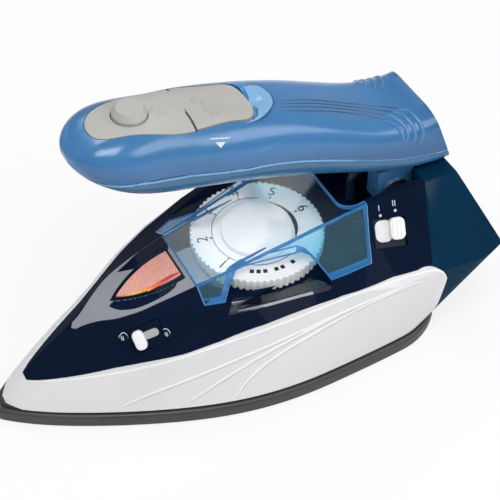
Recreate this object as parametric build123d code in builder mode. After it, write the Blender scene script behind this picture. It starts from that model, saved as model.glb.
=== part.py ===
"""Travel steam iron with a folding handle that is also its water tank.

Millimetres, +Z up, sole on Z = 0. The origin is the middle of the sole's
length. The nose points to -X and the heel to +X. Stations are distances
behind the nose tip, turned into X by the function at().
"""
from build123d import *
import os
from math import cos, radians, sin, sqrt

os.makedirs("parts", exist_ok=True)

# Fits and walls
PARTING = 0.2           # open line between two mouldings that meet
RUNNING = 0.06          # radial play of a shaft or pin in its bore
SEAT = 0.02             # radial play of a fixed pin or bush in its seat
SLIDE_PLAY = 0.3        # play round a piece that slides or turns
WALL = 2.4              # wall of the housing mouldings
TANK_WALL = 2.0         # wall of the water tank
COVER_WALL = 1.6        # wall of the clear dial cover

# Soleplate
SOLE_LENGTH = 182.0
SOLE_HALF_WIDTH = 49.0
SOLE_WIDEST = 121.0     # station of the widest place
SOLE_HEEL_HALF = 45.0
SOLE_CORNER = 29.0
SOLE_NOSE = 5.0         # radius of the tip
NOSE_CUT = 2.6          # what the tip's radius takes off the point
SOLE_THICK = 6.5
GASKET_THICK = 1.5
SKIRT_INSET = 1.3       # the skirt stands this far inside the sole edge
SOLE_EDGE = 1.4         # rounding of the sole's top edge
SOLE_BEVEL = 0.8
CHAMBER_INSET = 8.0
CHAMBER_REAR = 68.0
CHAMBER_DEPTH = 3.5
LID_LAP = 2.5
VENT_RADIUS = 1.6
VENT_ROWS = 5
VENT_FIRST = 24.0
VENT_PITCH = 9.5
GASKET_INSET = 0.6
ELEMENT_RADIUS = 3.2
ELEMENT_HALF = 22.0     # half the distance between the element's legs
ELEMENT_FRONT = 74.0
ELEMENT_REAR = 166.0
ELEMENT_Z = 6.5
SCREW_STATIONS = (84.0, 158.0)
SCREW_HALF = 33.0
SCREW_RADIUS = 1.5
SCREW_BOSS = 4.0
BOSS_TOP = 13.0
SCREW_DEPTH = 7.0
TAB_THICK = 2.2
VALVE_STATION = 56.0
VALVE_DRIP = 2.5
VALVE_RADIUS = 5.5
VALVE_TOP = 25.0
VALVE_STEM_TOP = 27.5

# Housing, as seen from the side and from above
WAIST_Z = 42.0          # height of the skirt's top edge at the middle
WAIST_TOP = 72.0        # the lower flanks are carried on to here
WAIST_NOSE = 39.0       # station where the waist outline starts
WAIST_HALF_WIDTH = 41.0
WAIST_WIDEST = 118.0
TAIL = 199.0            # station of the heel rest's rear edge
TAIL_HALF = 47.0
TAIL_CORNER = 4.0
TAIL_RIM_Z = 37.0       # the sloping back face ends here
TAIL_FOOT_Z = 28.5      # lower edge of the heel rest's upright rim
BACK_TOP = 186.0        # station where the back face reaches the rim
DECK_Z = 40.4           # floor under the dial and the handle root
DECK_THICK = 2.0
BULKHEAD = 2.5          # wall in front of the dial
REAR_RIB = 164.2        # low wall at the deck's rear end
RIB_THICK = 1.8
RIB_TOP = 46.0

# Shoulder line of the housing: station, half width, height, half width at Z = 0
SHOULDER = [
    (2.0, 2.0, 6.0, 14.0),
    (34.0, 1.8, 33.0, 33.0),
    (54.0, 10.4, 40.6, 43.0),
    (80.5, 14.6, 47.0, 78.0),
    (118.0, 17.7, 54.9, 107.0),
    (149.5, 20.3, 61.5, 86.0),
    (172.0, 24.7, 66.5, 76.0),
    (204.0, 26.5, 66.5, 71.0),
]

# Dial, its cover and the lamp
DIAL_STATION = 113.8
DIAL_RADIUS = 26.0
DIAL_TOP = 45.9
DIAL_THICK = 4.9
DIAL_TEETH = 64
DIAL_CAP_RADIUS = 14.0
DIAL_CAP_HEIGHT = 2.0
SHAFT_RADIUS = 3.0
TOOTH_RADIUS = 0.7          # radius of the grooves in the dial's rim
COVER_FRONT = 80.5
COVER_REAR = 149.5
COVER_FOOT_FRONT = 42.4     # height of the cover's lower edge at its front
COVER_FOOT_REAR = 46.8      # and at its rear
COVER_REAR_LOW = 143.4      # its lower rear corner
COVER_NOTCH = 8.5           # depth of the notch in its rear edge
NOTCH_HALF = 19.0
ARCH = [(85.6, 30.0), (86.6, 42.0), (92.0, 47.2), (95.5, 49.8), (99.0, 50.6), (120.2, 52.6), (122.6, 51.8),
        (124.2, 50.0), (126.4, 46.0), (129.0, 30.0)]
ARCH_NEAR = 14.0            # the arches start this far from the middle
SCOOP_FRONT = 91.0          # finger scoops beside the dial
SCOOP_REAR = 126.0
SCOOP_INNER = 26.4
SCOOP_RISE = 0.45
SCOOP_RUN = 16.0
DIAL_POCKET = 0.7           # play round the dial's rim
LENS_FRONT = 53.8
LENS_REAR = 77.8
LENS_HALF = 6.5
LENS_DEPTH = 3.0
LENS_PROUD = 0.5
LAMP_STATION = 67.0
LAMP_RADIUS = 2.5
LAMP_LENGTH = 9.0
TRIM_THICK = 1.2
TRIM_EDGE = 0.3             # the trim stops this far inside the shoulder line
LEAF_FRONT = 51.0
LEAF_REAR = 78.8
LEAF_HALF = 8.7

# Handle, measured as the photo shows it, swung up for use
HANDLE_NOSE = 41.8
HANDLE_STATIONS = [         # station, bottom, top, half width, share of it left at the top
    (62.0, 100.8, 127.3, 16.6, 1.0),
    (85.0, 93.0, 122.8, 17.6, 1.0),
    (110.0, 86.2, 115.2, 18.3, 1.0),
    (135.0, 78.0, 104.6, 19.0, 0.96),
    (155.0, 72.0, 94.2, 20.2, 0.88),
    (172.0, 68.4, 89.6, 21.0, 0.78),
    (190.0, 68.4, 94.2, 21.6, 0.72),
]
SPLIT = [                   # line between the tank and the handle's lower moulding
    (34.0, 118.0), (41.8, 115.4), (50.0, 113.8), (62.0, 112.0), (85.0, 106.2), (110.0, 99.8),
    (135.0, 90.4), (155.0, 81.2), (172.0, 75.2), (194.0, 73.4),
]
SEAL_GAP = 0.8
PAD_BED = [(30.0, 115.5), (130.0, 102.5)]   # the pad and its bed lie above this line
HANDLE_BACK_FOOT = 187.0    # station of the handle's rear end at the rim
HANDLE_BACK_LEAN = 0.3
PIVOT_STATION = 165.0
PIVOT_Z = 57.5
PIN_RADIUS = 3.0
EAR_RADIUS = 8.0
EAR_INNER = 9.0
EAR_OUTER = 16.0
WASHER_THICK = 0.6
WASHER_RADIUS = 6.0
BOSS_RADIUS = 4.5
BOSS_FACE = 16.8
PIN_INNER = 8.5
PIN_OUTER = 26.0
WATER_WAY = 1.5
NECK_TOP = 70.4
MOUTH_LIP = 2.6             # rim left round the opening for the handle's root
NECK_CLEAR = 175.5

# Pad on the handle, its button and its filler lid
PAD_FRONT = 51.0
PAD_REAR = 110.0
PAD_HALF = 11.6
PAD_THICK = 2.4
PAD_PLAY = 0.3
ROOF_LAP = 5.0              # thick roof round the pad
PAD_SPLIT = 84.6
SPLIT_GAP = 0.9
WEB_HALF = 3.5              # hinge web in the middle of the split
BUTTON_STATION = 66.0
BUTTON_Z = 126.6
BUTTON_TILT = 5.0
BUTTON_RADIUS = 6.0
BUTTON_TOP_RADIUS = 4.5
BUTTON_PROUD = 3.6
BUTTON_TRAVEL = 3.0
BUTTON_SKIRT = 5.6
PISTON_RADIUS = 3.6
ROD_RADIUS = 2.0
CUP_TOP = 3.6               # depths below the pad
CUP_FLOOR = 12.0
CUP_WALL = 0.7
BARREL_FOOT = 22.0
FLANGE_TOP = 5.8
PISTON_TOP = 15.2
PISTON_HEIGHT = 3.4
SPRING_RADIUS = 4.6
SPRING_WIRE = 0.35
SPRING_TURNS = 3.5
MOUTH_FRONT = 92.0
MOUTH_REAR = 104.5
MOUTH_HALF = 6.0
LID_LIFT = 0.35             # air under the lid and its edges
SEAL_PLAY = 0.6
SEAL_REAR_PLAY = 1.8        # room for the seal's swing
SEAL_DEPTH = 1.0            # seal below the tank's roof
THUMB_STATION = 112.5
THUMB_RADIUS = 9.0
THUMB_DEPTH = 1.6

# Side controls
SLIDER_STATION = 55.2
SLIDER_Z = 33.2
SLIDER_LEAN = 25.0          # the track rises to the rear
SLIDER_TRAVEL = 5.5
SLIDER_WIDTH = 4.4
SLIDER_HEIGHT = 7.6
SLIDER_PROUD = 2.6
NECK = 2.4
ARM_THICK = 1.2
ARM_SINK = 1.0
ARM_REACH = 17.6
GUIDE_LENGTH = 12.8
GUIDE_HEIGHT = 9.2
GUIDE_THICK = 1.2
VOLT_STATION = 154.4
VOLT_Z = 53.2
VOLT_TRAVEL = 5.6
VOLT_WINDOW = 12.4
VOLT_WINDOW_HEIGHT = 11.4
VOLT_GRIP = 6.2
VOLT_WALL = 1.4             # wall left round the window
VOLT_PLATE = 1.2
VOLT_PROUD = 0.8
VOLT_LAP = 1.6
SWITCH_DEPTH = 6.0

# Cord inlet in the back face
INLET_Z = 51.0
INLET_BORE = 4.0
INLET_OUTER = 7.0
INLET_LENGTH = 12.0
COLLAR_RADIUS = 8.6
COLLAR_THICK = 1.6

# Pieces on the sole and under the deck
THERMOSTAT_RADIUS = 9.0
THERMOSTAT_TOP = 11.5
BUSH_RADIUS = 4.6
BUSH_TOP = 20.0
SHAFT_FOOT = 12.5
FUSE_STATION = 140.0
FUSE_RADIUS = 2.4
FUSE_LENGTH = 14.0
BLOCK = (142.0, 27.0, 15.0, 13.0, 10.0)     # station, Y, length, width, height
TUBE_RADIUS = 2.0
TUBE_Z = 19.0
TUBE_SIDE = 13.0
TUBE_MIDDLE = 3.0
TUBE_RISE = 158.0

# Skirt seen from the side: two arcs and a line along its top, then its round rear corner
SKIRT_EDGE = [
    (0.0, 14.0), (34.0, 20.6), (70.0, 30.3), (98.0, 37.8), (128.0, 41.6), (160.0, 41.2), (168.5, 39.3),
    (172.0, 33.0), (167.0, SOLE_THICK),
]
CASE_PARTING = [(172.8, 70.0), (166.2, 42.0)]

SKIRT_Z = SOLE_THICK + GASKET_THICK
RIM_Z = SHOULDER[-1][2]
SCREW_SPOTS = [(x - SOLE_LENGTH / 2, y) for x in SCREW_STATIONS for y in (-SCREW_HALF, SCREW_HALF)]
FAR = 400.0
UNDER = -20.0               # construction height below the sole


def at(station):
    """X of a station measured from the nose tip."""
    return station - SOLE_LENGTH / 2


def between(table, station, column):
    """Value of a table's column at a station, on a smooth line through its rows."""
    row = 0
    while row < len(table) - 2 and station > table[row + 1][0]:
        row += 1
    rise = [(high[column] - low[column]) / (high[0] - low[0]) for low, high in zip(table, table[1:])]
    slopes = []
    for knot in (row, row + 1):
        before = rise[max(knot - 1, 0)]
        after = rise[min(knot, len(rise) - 1)]
        slopes.append(0.5 * (before + after) if before * after > 0 else 0.0)
    run = table[row + 1][0] - table[row][0]
    t = (station - table[row][0]) / run
    low = table[row][column]
    high = table[row + 1][column]
    return (
        low + (high - low) * t * t * (3 - 2 * t)
        + run * t * (1 - t) * (slopes[0] * (1 - t) - slopes[1] * t)
    )


def across(station):
    """Plane square to the length, with Y to the right and Z up."""
    return Plane(origin=(at(station), 0, 0), x_dir=(0, 1, 0), z_dir=(1, 0, 0))


def housing_outline(nose, widest, half, rear, rear_half, corner, rear_flare):
    """Pointed outline, widest behind its middle, with two round rear corners."""
    run = widest - nose
    with BuildSketch() as outline:
        with BuildLine():
            front = Spline(
                (nose, 0), (nose + 0.25 * run, 0.44 * half), (nose + 0.5 * run, 0.74 * half),
                (widest, half), tangents=[(1, 1), (1, 0)],
            )
            side = Spline(front @ 1, (rear, rear_half), tangents=[(1, 0), (1, rear_flare)])
            Line(side @ 1, (rear, 0))
            mirror(about=Plane.XZ)
        make_face()
        fillet(outline.vertices().group_by(Axis.X)[0], SOLE_NOSE)
        rear_corners = [v for v in outline.vertices().group_by(Axis.X)[-1] if abs(v.Y) > 1]
        fillet(rear_corners, corner)
    return outline.sketch


def sole_outline(inset):
    """Outline of the sole, drawn in by inset."""
    return housing_outline(
        at(1.5 * inset) - NOSE_CUT, at(SOLE_WIDEST), SOLE_HALF_WIDTH - inset,
        at(SOLE_LENGTH) - inset, SOLE_HEEL_HALF - inset, SOLE_CORNER - inset, -0.2,
    )


def waist_outline(inset):
    """Outline of the lower flanks carried up to WAIST_TOP, flared into the heel rest."""
    carry = (WAIST_TOP - SKIRT_Z) / (WAIST_Z - SKIRT_Z)
    tail_lean = (TAIL - SOLE_LENGTH) / (TAIL_FOOT_Z - SKIRT_Z)
    nose = carry * WAIST_NOSE
    widest = SOLE_WIDEST + carry * (WAIST_WIDEST - SOLE_WIDEST)
    half = SOLE_HALF_WIDTH + carry * (WAIST_HALF_WIDTH - SOLE_HALF_WIDTH)
    tail = SOLE_LENGTH + tail_lean * (WAIST_TOP - SKIRT_Z)
    return housing_outline(
        at(nose) + 1.5 * inset, at(widest), half - inset, at(tail) - inset, TAIL_HALF - inset, TAIL_CORNER, 0.05,
    )


def flank_envelope(inset):
    """Space inside the housing's lower flanks, from the sole to above the dial."""
    foot = sole_outline(SKIRT_INSET + inset)
    waist = waist_outline(inset)
    with BuildPart() as space:
        with BuildSketch(Plane.XY.offset(SKIRT_Z)):
            add(foot)
        with BuildSketch(Plane.XY.offset(WAIST_TOP)):
            add(waist)
        loft(ruled=True)
    return space.part


def shoulder_envelope(inset):
    """Space under the housing's sloping upper faces, drawn in by inset."""
    stations = [row[0] for row in SHOULDER]
    stations += [0.5 * (low + high) for low, high in zip(stations, stations[1:])]
    with BuildPart() as space:
        for station in sorted(stations):
            half, height, foot = [between(SHOULDER, station, column) for column in (1, 2, 3)]
            slope = (foot - half) / height
            side = inset * sqrt(1 + slope * slope)
            top = height - inset
            with BuildSketch(across(station)):
                with BuildLine():
                    Polyline(
                        (foot - side - slope * UNDER, UNDER), (foot - side - slope * top, top),
                        (side + slope * top - foot, top), (side - foot + slope * UNDER, UNDER), close=True,
                    )
                make_face()
        loft(ruled=True)
    return space.part


def side_prism(points, half_width=FAR / 2):
    """Straight-sided outline of the side view, station against height, drawn through the width."""
    with BuildPart() as prism:
        with BuildSketch(Plane.XZ):
            with BuildLine():
                Polyline([(at(station), z) for station, z in points], close=True)
            make_face()
        extrude(amount=half_width, both=True)
    return prism.part


def back_space(inset):
    """Space in front of the sloping back face and the upright rim below it."""
    run = (TAIL - BACK_TOP) / (RIM_Z - TAIL_RIM_Z)
    slope_tail = TAIL - inset * sqrt(1 + run * run)
    bend = TAIL_RIM_Z + (slope_tail - TAIL + inset) / run
    return side_prism([
        (-FAR, -FAR), (TAIL - inset, -FAR), (TAIL - inset, bend),
        (slope_tail - run * (FAR - TAIL_RIM_Z), FAR), (-FAR, FAR),
    ])


def housing(inset):
    """Whole housing without the handle, drawn in by inset."""
    lower = flank_envelope(inset)
    upper = shoulder_envelope(inset)
    front = back_space(inset)
    with BuildPart() as whole:
        add(lower)
        add(upper, mode=Mode.INTERSECT)
        add(front, mode=Mode.INTERSECT)
    return whole.part



def handle_rows(inset):
    """Handle sections from nose to rear: station, bottom, top, half width, top share."""
    first, bottom, top, half, share_top = HANDLE_STATIONS[0]
    tip = bottom + 0.7 * (top - bottom)
    rows = []
    for share in (0.02, 0.1, 0.28, 0.58):
        round_off = sqrt(1 - (1 - share) ** 2)
        station = HANDLE_NOSE + inset + share * (first - HANDLE_NOSE - inset)
        low = tip - (tip - bottom - inset) * share ** 0.72
        high = tip + (top - inset - tip) * round_off
        rows.append((station, low, high, (half - inset) * round_off, share_top))
    for station, low, high, wide, share_top in HANDLE_STATIONS:
        rows.append((station, low + inset, high - inset, wide - inset, share_top))
    return rows


def handle_envelope(inset):
    """Space inside the handle's outer skin, drawn in by inset."""
    with BuildPart() as space:
        for station, low, high, half, share_top in handle_rows(inset):
            with BuildSketch(across(station)) as section:
                with BuildLine():
                    Polyline(
                        (-half, low), (half, low), (share_top * half, high), (-share_top * half, high), close=True,
                    )
                make_face()
                size = min(2 * share_top * half, high - low)
                fillet(section.vertices().sort_by(Axis.Y)[2:], 0.42 * size)
                fillet(section.vertices().sort_by(Axis.Y)[:2], (0.42 - 0.9 * (1 - share_top)) * size)
        loft()
    foot = HANDLE_BACK_FOOT - inset * sqrt(1 + HANDLE_BACK_LEAN ** 2)
    front = side_prism([
        (-FAR, -FAR), (foot + HANDLE_BACK_LEAN * (RIM_Z + FAR), -FAR),
        (foot - HANDLE_BACK_LEAN * (FAR - RIM_Z), FAR), (-FAR, FAR),
    ])
    with BuildPart() as trimmed:
        add(space.part)
        add(front, mode=Mode.INTERSECT)
    return trimmed.part


def plan_prism(outline, low, high):
    """Outline seen from above, drawn from one height to another."""
    with BuildPart() as prism:
        with BuildSketch(Plane.XY.offset(low)):
            add(outline)
        extrude(amount=high - low)
    return prism.part


def flank_half_width(station, z):
    """Half width of the housing's sloping upper face at a height."""
    half = between(SHOULDER, station, 1)
    height = between(SHOULDER, station, 2)
    foot = between(SHOULDER, station, 3)
    return half + (foot - half) * (height - z) / height


def flank_plane(station, z, depth=0.0):
    """Plane on the near upper face: X along the body, Y up the face, Z outwards."""
    spot = Vector(at(station), -flank_half_width(station, z), z)
    along = Vector(at(station + 1), -flank_half_width(station + 1, z), z) - spot
    up_face = Vector(at(station), -flank_half_width(station, z + 1), z + 1) - spot
    return Plane(origin=spot, x_dir=along, z_dir=along.cross(up_face)).offset(-depth)


def skirt_space(grow):
    """Space under the skirt's top line and in front of its rear edge."""
    edge = [(at(station), z + grow) for station, z in SKIRT_EDGE[:6]]
    edge += [(at(station) + grow, z + grow) for station, z in SKIRT_EDGE[6:]]
    with BuildPart() as space:
        with BuildSketch(Plane.XZ):
            with BuildLine():
                ThreePointArc(edge[0], edge[1], edge[2])
                ThreePointArc(edge[2], edge[3], edge[4])
                Line(edge[4], edge[5])
                ThreePointArc(edge[5], edge[6], edge[7])
                Line(edge[7], edge[8])
                Polyline(edge[8], (edge[8][0], -FAR), (edge[0][0], -FAR), edge[0])
            make_face()
        extrude(amount=FAR / 2, both=True)
    return space.part


def front_space(grow):
    """Space in front of the parting between the body shell and the rear cover."""
    (high_x, high_z), (low_x, low_z) = CASE_PARTING
    lean = (high_x - low_x) / (high_z - low_z)
    return side_prism([
        (-FAR, -FAR), (low_x + grow - lean * (low_z + FAR), -FAR),
        (high_x + grow + lean * (FAR - high_z), FAR), (-FAR, FAR),
    ])


def cover_space(grow):
    """Space over the dial that the clear cover closes."""
    return side_prism([
        (COVER_FRONT - grow, COVER_FOOT_FRONT - grow), (COVER_REAR_LOW + grow, COVER_FOOT_REAR - grow),
        (COVER_REAR + grow, between(SHOULDER, COVER_REAR, 2)), (COVER_REAR + grow, FAR),
        (COVER_FRONT - grow, FAR),
    ])


def side_pockets(points, near, far):
    """Outline of the side view drawn outwards on both sides of the body."""
    with BuildPart() as pockets:
        with BuildSketch(Plane.XZ.offset(near)):
            with BuildLine():
                Polyline([(at(station), z) for station, z in points], close=True)
            make_face()
        extrude(amount=far - near)
        mirror(about=Plane.XZ)
    return pockets.part


def lens_outline(front, rear, half, grow):
    """Drop shape of the lamp lens seen from above, pointed to the nose."""
    run = rear - front
    with BuildSketch() as outline:
        with BuildLine():
            side = Spline(
                (at(front - 2 * grow), 0), (at(front + 0.42 * run), 0.74 * half + grow),
                (at(front + 0.75 * run), 0.98 * half + grow), (at(rear + grow), half + grow),
            )
            Line(side @ 1, (at(rear + grow), 0))
            mirror(about=Plane.XZ)
        make_face()
    return outline.sketch


def trim_outline(edge):
    """Outline of the trim seen from above, inside the shoulder line by edge."""
    stations = (36.0, 40.0, 47.0, 54.0, 62.0, 71.0, COVER_FRONT - 2 * PARTING)
    points = [(at(station), between(SHOULDER, station, 1) - edge) for station in stations]
    with BuildSketch() as outline:
        with BuildLine():
            side = Spline(points)
            Line(side @ 1, (points[-1][0], 0))
            Line((points[-1][0], 0), (at(34.5) + edge, 0))
            Line((at(34.5) + edge, 0), side @ 0)
        make_face()
        mirror(about=Plane.XZ)
    return outline.sketch


def pad_outline(inset):
    """Outline of the pad on the handle seen from above."""
    with BuildSketch() as outline:
        with BuildLine():
            side = Spline(
                (at(PAD_FRONT + inset), 0), (at(PAD_FRONT + 11), 0.76 * PAD_HALF - inset),
                (at(PAD_FRONT + 34), PAD_HALF - inset), (at(PAD_REAR - 10), 0.89 * PAD_HALF - inset),
                (at(PAD_REAR - 2 * inset), 0), tangents=[(0, 1), (0, -1)],
            )
            mirror(about=Plane.XZ)
        make_face()
    return outline.sketch


def split_space(grow):
    """Space above the handle's split line, moved up by grow."""
    with BuildPart() as space:
        with BuildSketch(Plane.XZ):
            with BuildLine():
                line = Spline([(at(station), z + grow) for station, z in SPLIT])
                Polyline(line @ 1, (line @ 1 + (0, FAR)), (line @ 0 + (0, FAR)), line @ 0)
            make_face()
        extrude(amount=FAR / 2, both=True)
    return space.part


def pad_region(inset, thick):
    """Pad-shaped piece of the handle's skin, thick below the surface."""
    prism = plan_prism(pad_outline(inset), PAD_BED[1][1] - TANK_WALL, FAR / 2)
    upper_half = side_prism(PAD_BED + [(PAD_BED[1][0], FAR), (PAD_BED[0][0], FAR)])
    core = handle_envelope(thick)
    with BuildPart() as region:
        add(prism)
        add(upper_half, mode=Mode.INTERSECT)
        add(core, mode=Mode.SUBTRACT)
    return region.part


def screw_tabs():
    """Tabs that reach from the middle of the housing's wall over the sole's bosses."""
    middle = housing(0.5 * WALL)
    with BuildPart() as tabs:
        with BuildSketch(Plane.XY.offset(BOSS_TOP)):
            with Locations(*SCREW_SPOTS):
                Rectangle(2 * SCREW_BOSS, 2 * SCREW_BOSS)
            with Locations(*[(x, 1.3 * y) for x, y in SCREW_SPOTS]):
                Rectangle(2 * SCREW_BOSS, 0.5 * SCREW_HALF)
        extrude(amount=TAB_THICK)
        add(middle, mode=Mode.INTERSECT)
        with BuildSketch(Plane.XY.offset(BOSS_TOP)):
            with Locations(*SCREW_SPOTS):
                Circle(SCREW_RADIUS + SLIDE_PLAY)
        extrude(amount=TAB_THICK, mode=Mode.SUBTRACT)
    return tabs.part


def pivot_bosses():
    """Bosses inside the body's walls that hold the hinge pins."""
    middle = housing(0.5 * WALL)
    with BuildPart() as bosses:
        with BuildSketch(Plane.XZ.offset(BOSS_FACE)):
            with Locations((at(PIVOT_STATION), PIVOT_Z)):
                Circle(BOSS_RADIUS)
        extrude(amount=FAR / 8)
        mirror(about=Plane.XZ)
        add(middle, mode=Mode.INTERSECT)
    return bosses.part


outer = housing(0)
inner = housing(WALL)
shell = outer - inner
below_skirt = skirt_space(0)
below_skirt_gap = skirt_space(PARTING)
front_of_parting = front_space(0)
front_of_parting_gap = front_space(PARTING)
handle_outer = handle_envelope(0)
handle_inner = handle_envelope(TANK_WALL)

# Soleplate: cast aluminium with a steam chamber in its front and a ring of vents
chamber_outline = sole_outline(CHAMBER_INSET)
with BuildPart() as soleplate:
    with BuildSketch():
        add(sole_outline(0))
    extrude(amount=SOLE_THICK)
    fillet(soleplate.faces().sort_by(Axis.Z)[-1].outer_wire().edges(), SOLE_EDGE)
    chamfer(soleplate.faces().sort_by(Axis.Z)[0].outer_wire().edges(), SOLE_BEVEL)
    with BuildSketch(Plane.XY.offset(SOLE_THICK)):
        add(chamber_outline)
        with Locations((at(CHAMBER_REAR) + FAR / 2, 0)):
            Rectangle(FAR, FAR, mode=Mode.SUBTRACT)
    extrude(amount=-CHAMBER_DEPTH, mode=Mode.SUBTRACT)
    for row in range(VENT_ROWS):
        station = VENT_FIRST + row * VENT_PITCH
        spread = 0.45 * row * VENT_PITCH
        spots = [(at(station), 0)] if row == 0 else [(at(station), spread), (at(station), -spread)]
        with Locations(*spots):
            Cylinder(VENT_RADIUS, 3 * SOLE_THICK, mode=Mode.SUBTRACT)
    with BuildSketch(Plane.XY.offset(SOLE_THICK)):
        with Locations(*SCREW_SPOTS):
            Circle(SCREW_BOSS)
    extrude(amount=BOSS_TOP - SOLE_THICK)
    with BuildSketch(Plane.XY.offset(BOSS_TOP)):
        with Locations(*SCREW_SPOTS):
            Circle(SCREW_RADIUS + RUNNING)
    extrude(amount=-SCREW_DEPTH, mode=Mode.SUBTRACT)
    with BuildLine():
        element_path = FilletPolyline(
            (at(ELEMENT_REAR), ELEMENT_HALF, ELEMENT_Z), (at(ELEMENT_FRONT), ELEMENT_HALF, ELEMENT_Z),
            (at(ELEMENT_FRONT), -ELEMENT_HALF, ELEMENT_Z), (at(ELEMENT_REAR), -ELEMENT_HALF, ELEMENT_Z),
            radius=ELEMENT_HALF - 0.5,
        )
    with BuildSketch(Plane(origin=element_path @ 0, z_dir=element_path % 0)):
        Circle(ELEMENT_RADIUS + PARTING)
    sweep(path=element_path, mode=Mode.SUBTRACT)
soleplate.part.label = "soleplate"
export_step(soleplate.part, "parts/soleplate.step")

# Heating element: sheathed rod bent to a U, laid in the soleplate's groove
with BuildPart() as heating_element:
    with BuildLine():
        rod_path = FilletPolyline(
            (at(ELEMENT_REAR), ELEMENT_HALF, ELEMENT_Z), (at(ELEMENT_FRONT), ELEMENT_HALF, ELEMENT_Z),
            (at(ELEMENT_FRONT), -ELEMENT_HALF, ELEMENT_Z), (at(ELEMENT_REAR), -ELEMENT_HALF, ELEMENT_Z),
            radius=ELEMENT_HALF - 0.5,
        )
    with BuildSketch(Plane(origin=rod_path @ 0, z_dir=rod_path % 0)):
        Circle(ELEMENT_RADIUS)
    sweep(path=rod_path)
heating_element.part.label = "heating_element"
export_step(heating_element.part, "parts/heating_element.step")

# Steam chamber lid: pressed plate over the chamber, with the valve's drip hole
with BuildPart() as steam_chamber_lid:
    with BuildSketch(Plane.XY.offset(SOLE_THICK)):
        add(sole_outline(CHAMBER_INSET - LID_LAP))
        with Locations((at(CHAMBER_REAR) + LID_LAP + FAR / 2, 0)):
            Rectangle(FAR, FAR, mode=Mode.SUBTRACT)
        with Locations((at(VALVE_STATION), 0)):
            Circle(VALVE_DRIP, mode=Mode.SUBTRACT)
    extrude(amount=GASKET_THICK)
steam_chamber_lid.part.label = "steam_chamber_lid"
export_step(steam_chamber_lid.part, "parts/steam_chamber_lid.step")

# Sole gasket: heat-proof ring between the soleplate and the skirt
with BuildPart() as sole_gasket:
    with BuildSketch(Plane.XY.offset(SOLE_THICK)):
        add(sole_outline(SKIRT_INSET + GASKET_INSET))
        add(sole_outline(SKIRT_INSET + WALL), mode=Mode.SUBTRACT)
    extrude(amount=GASKET_THICK)
sole_gasket.part.label = "sole_gasket"
export_step(sole_gasket.part, "parts/sole_gasket.step")

# Skirt: white moulding round the hot sole, held down on four bosses
tabs = screw_tabs()
with BuildPart() as skirt:
    add(shell)
    add(below_skirt, mode=Mode.INTERSECT)
    add(tabs)
skirt.part.label = "skirt"
export_step(skirt.part, "parts/skirt.step")

# Sole screws: four pan heads that clamp the skirt's tabs to the soleplate
with BuildPart() as sole_screws:
    with BuildSketch(Plane.XY.offset(BOSS_TOP + TAB_THICK)):
        with Locations(*SCREW_SPOTS):
            Circle(2 * SCREW_RADIUS)
    extrude(amount=SCREW_RADIUS)
    with BuildSketch(Plane.XY.offset(BOSS_TOP + TAB_THICK)):
        with Locations(*SCREW_SPOTS):
            Circle(SCREW_RADIUS)
    extrude(amount=-(TAB_THICK + SCREW_DEPTH - 1))
sole_screws.part.label = "sole_screws"
export_step(sole_screws.part, "parts/sole_screws.step")

# Body shell: dark upper moulding with the dial's bay and the handle's root
deck_profile = side_prism([
    (COVER_FRONT - BULKHEAD, DECK_Z - DECK_THICK), (FAR, DECK_Z - DECK_THICK), (FAR, DECK_Z),
    (REAR_RIB + RIB_THICK, DECK_Z), (REAR_RIB + RIB_THICK, RIB_TOP), (REAR_RIB, RIB_TOP), (REAR_RIB, DECK_Z),
    (COVER_FRONT, DECK_Z), (COVER_FRONT, FAR), (COVER_FRONT - BULKHEAD, FAR),
])
mid_wall = housing(0.5 * WALL)
inside_skirt = housing(WALL + PARTING)
cover_bay = cover_space(PARTING)
trim_bed = plan_prism(trim_outline(TRIM_EDGE - PARTING), 0, FAR / 4)
leaf = plan_prism(lens_outline(LEAF_FRONT, LEAF_REAR, LEAF_HALF, -PARTING), 0, FAR / 4)
under_trim = shoulder_envelope(TRIM_THICK)
bosses = pivot_bosses()
with BuildPart() as trim_recess:
    add(trim_bed)
    add(leaf, mode=Mode.SUBTRACT)
    add(under_trim, mode=Mode.SUBTRACT)
with BuildPart() as deck:
    add(mid_wall)
    add(deck_profile, mode=Mode.INTERSECT)
    add(below_skirt_gap, mode=Mode.SUBTRACT)
with BuildPart() as deck_floor:
    add(inside_skirt)
    add(deck_profile, mode=Mode.INTERSECT)
with BuildPart() as ramps:
    with BuildSketch(across(SCOOP_FRONT)):
        with BuildLine():
            Polyline(
                (SCOOP_INNER, DECK_Z - 0.5 * DECK_THICK), (SCOOP_INNER, DECK_Z),
                (SCOOP_INNER + SCOOP_RUN, DECK_Z + SCOOP_RUN * SCOOP_RISE),
                (SCOOP_INNER + SCOOP_RUN, DECK_Z - 0.5 * DECK_THICK), close=True,
            )
        make_face()
        mirror(about=Plane.YZ)
    extrude(amount=SCOOP_REAR - SCOOP_FRONT)
    add(mid_wall, mode=Mode.INTERSECT)
    add(below_skirt_gap, mode=Mode.SUBTRACT)
slider_face = flank_plane(SLIDER_STATION, SLIDER_Z)
slider_plane = Plane(slider_face.location * Location((0, 0, 0), (0, 0, SLIDER_LEAN)))
guide_centre = 0.5 * SLIDER_TRAVEL
volt_plane = flank_plane(VOLT_STATION, VOLT_Z)
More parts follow.
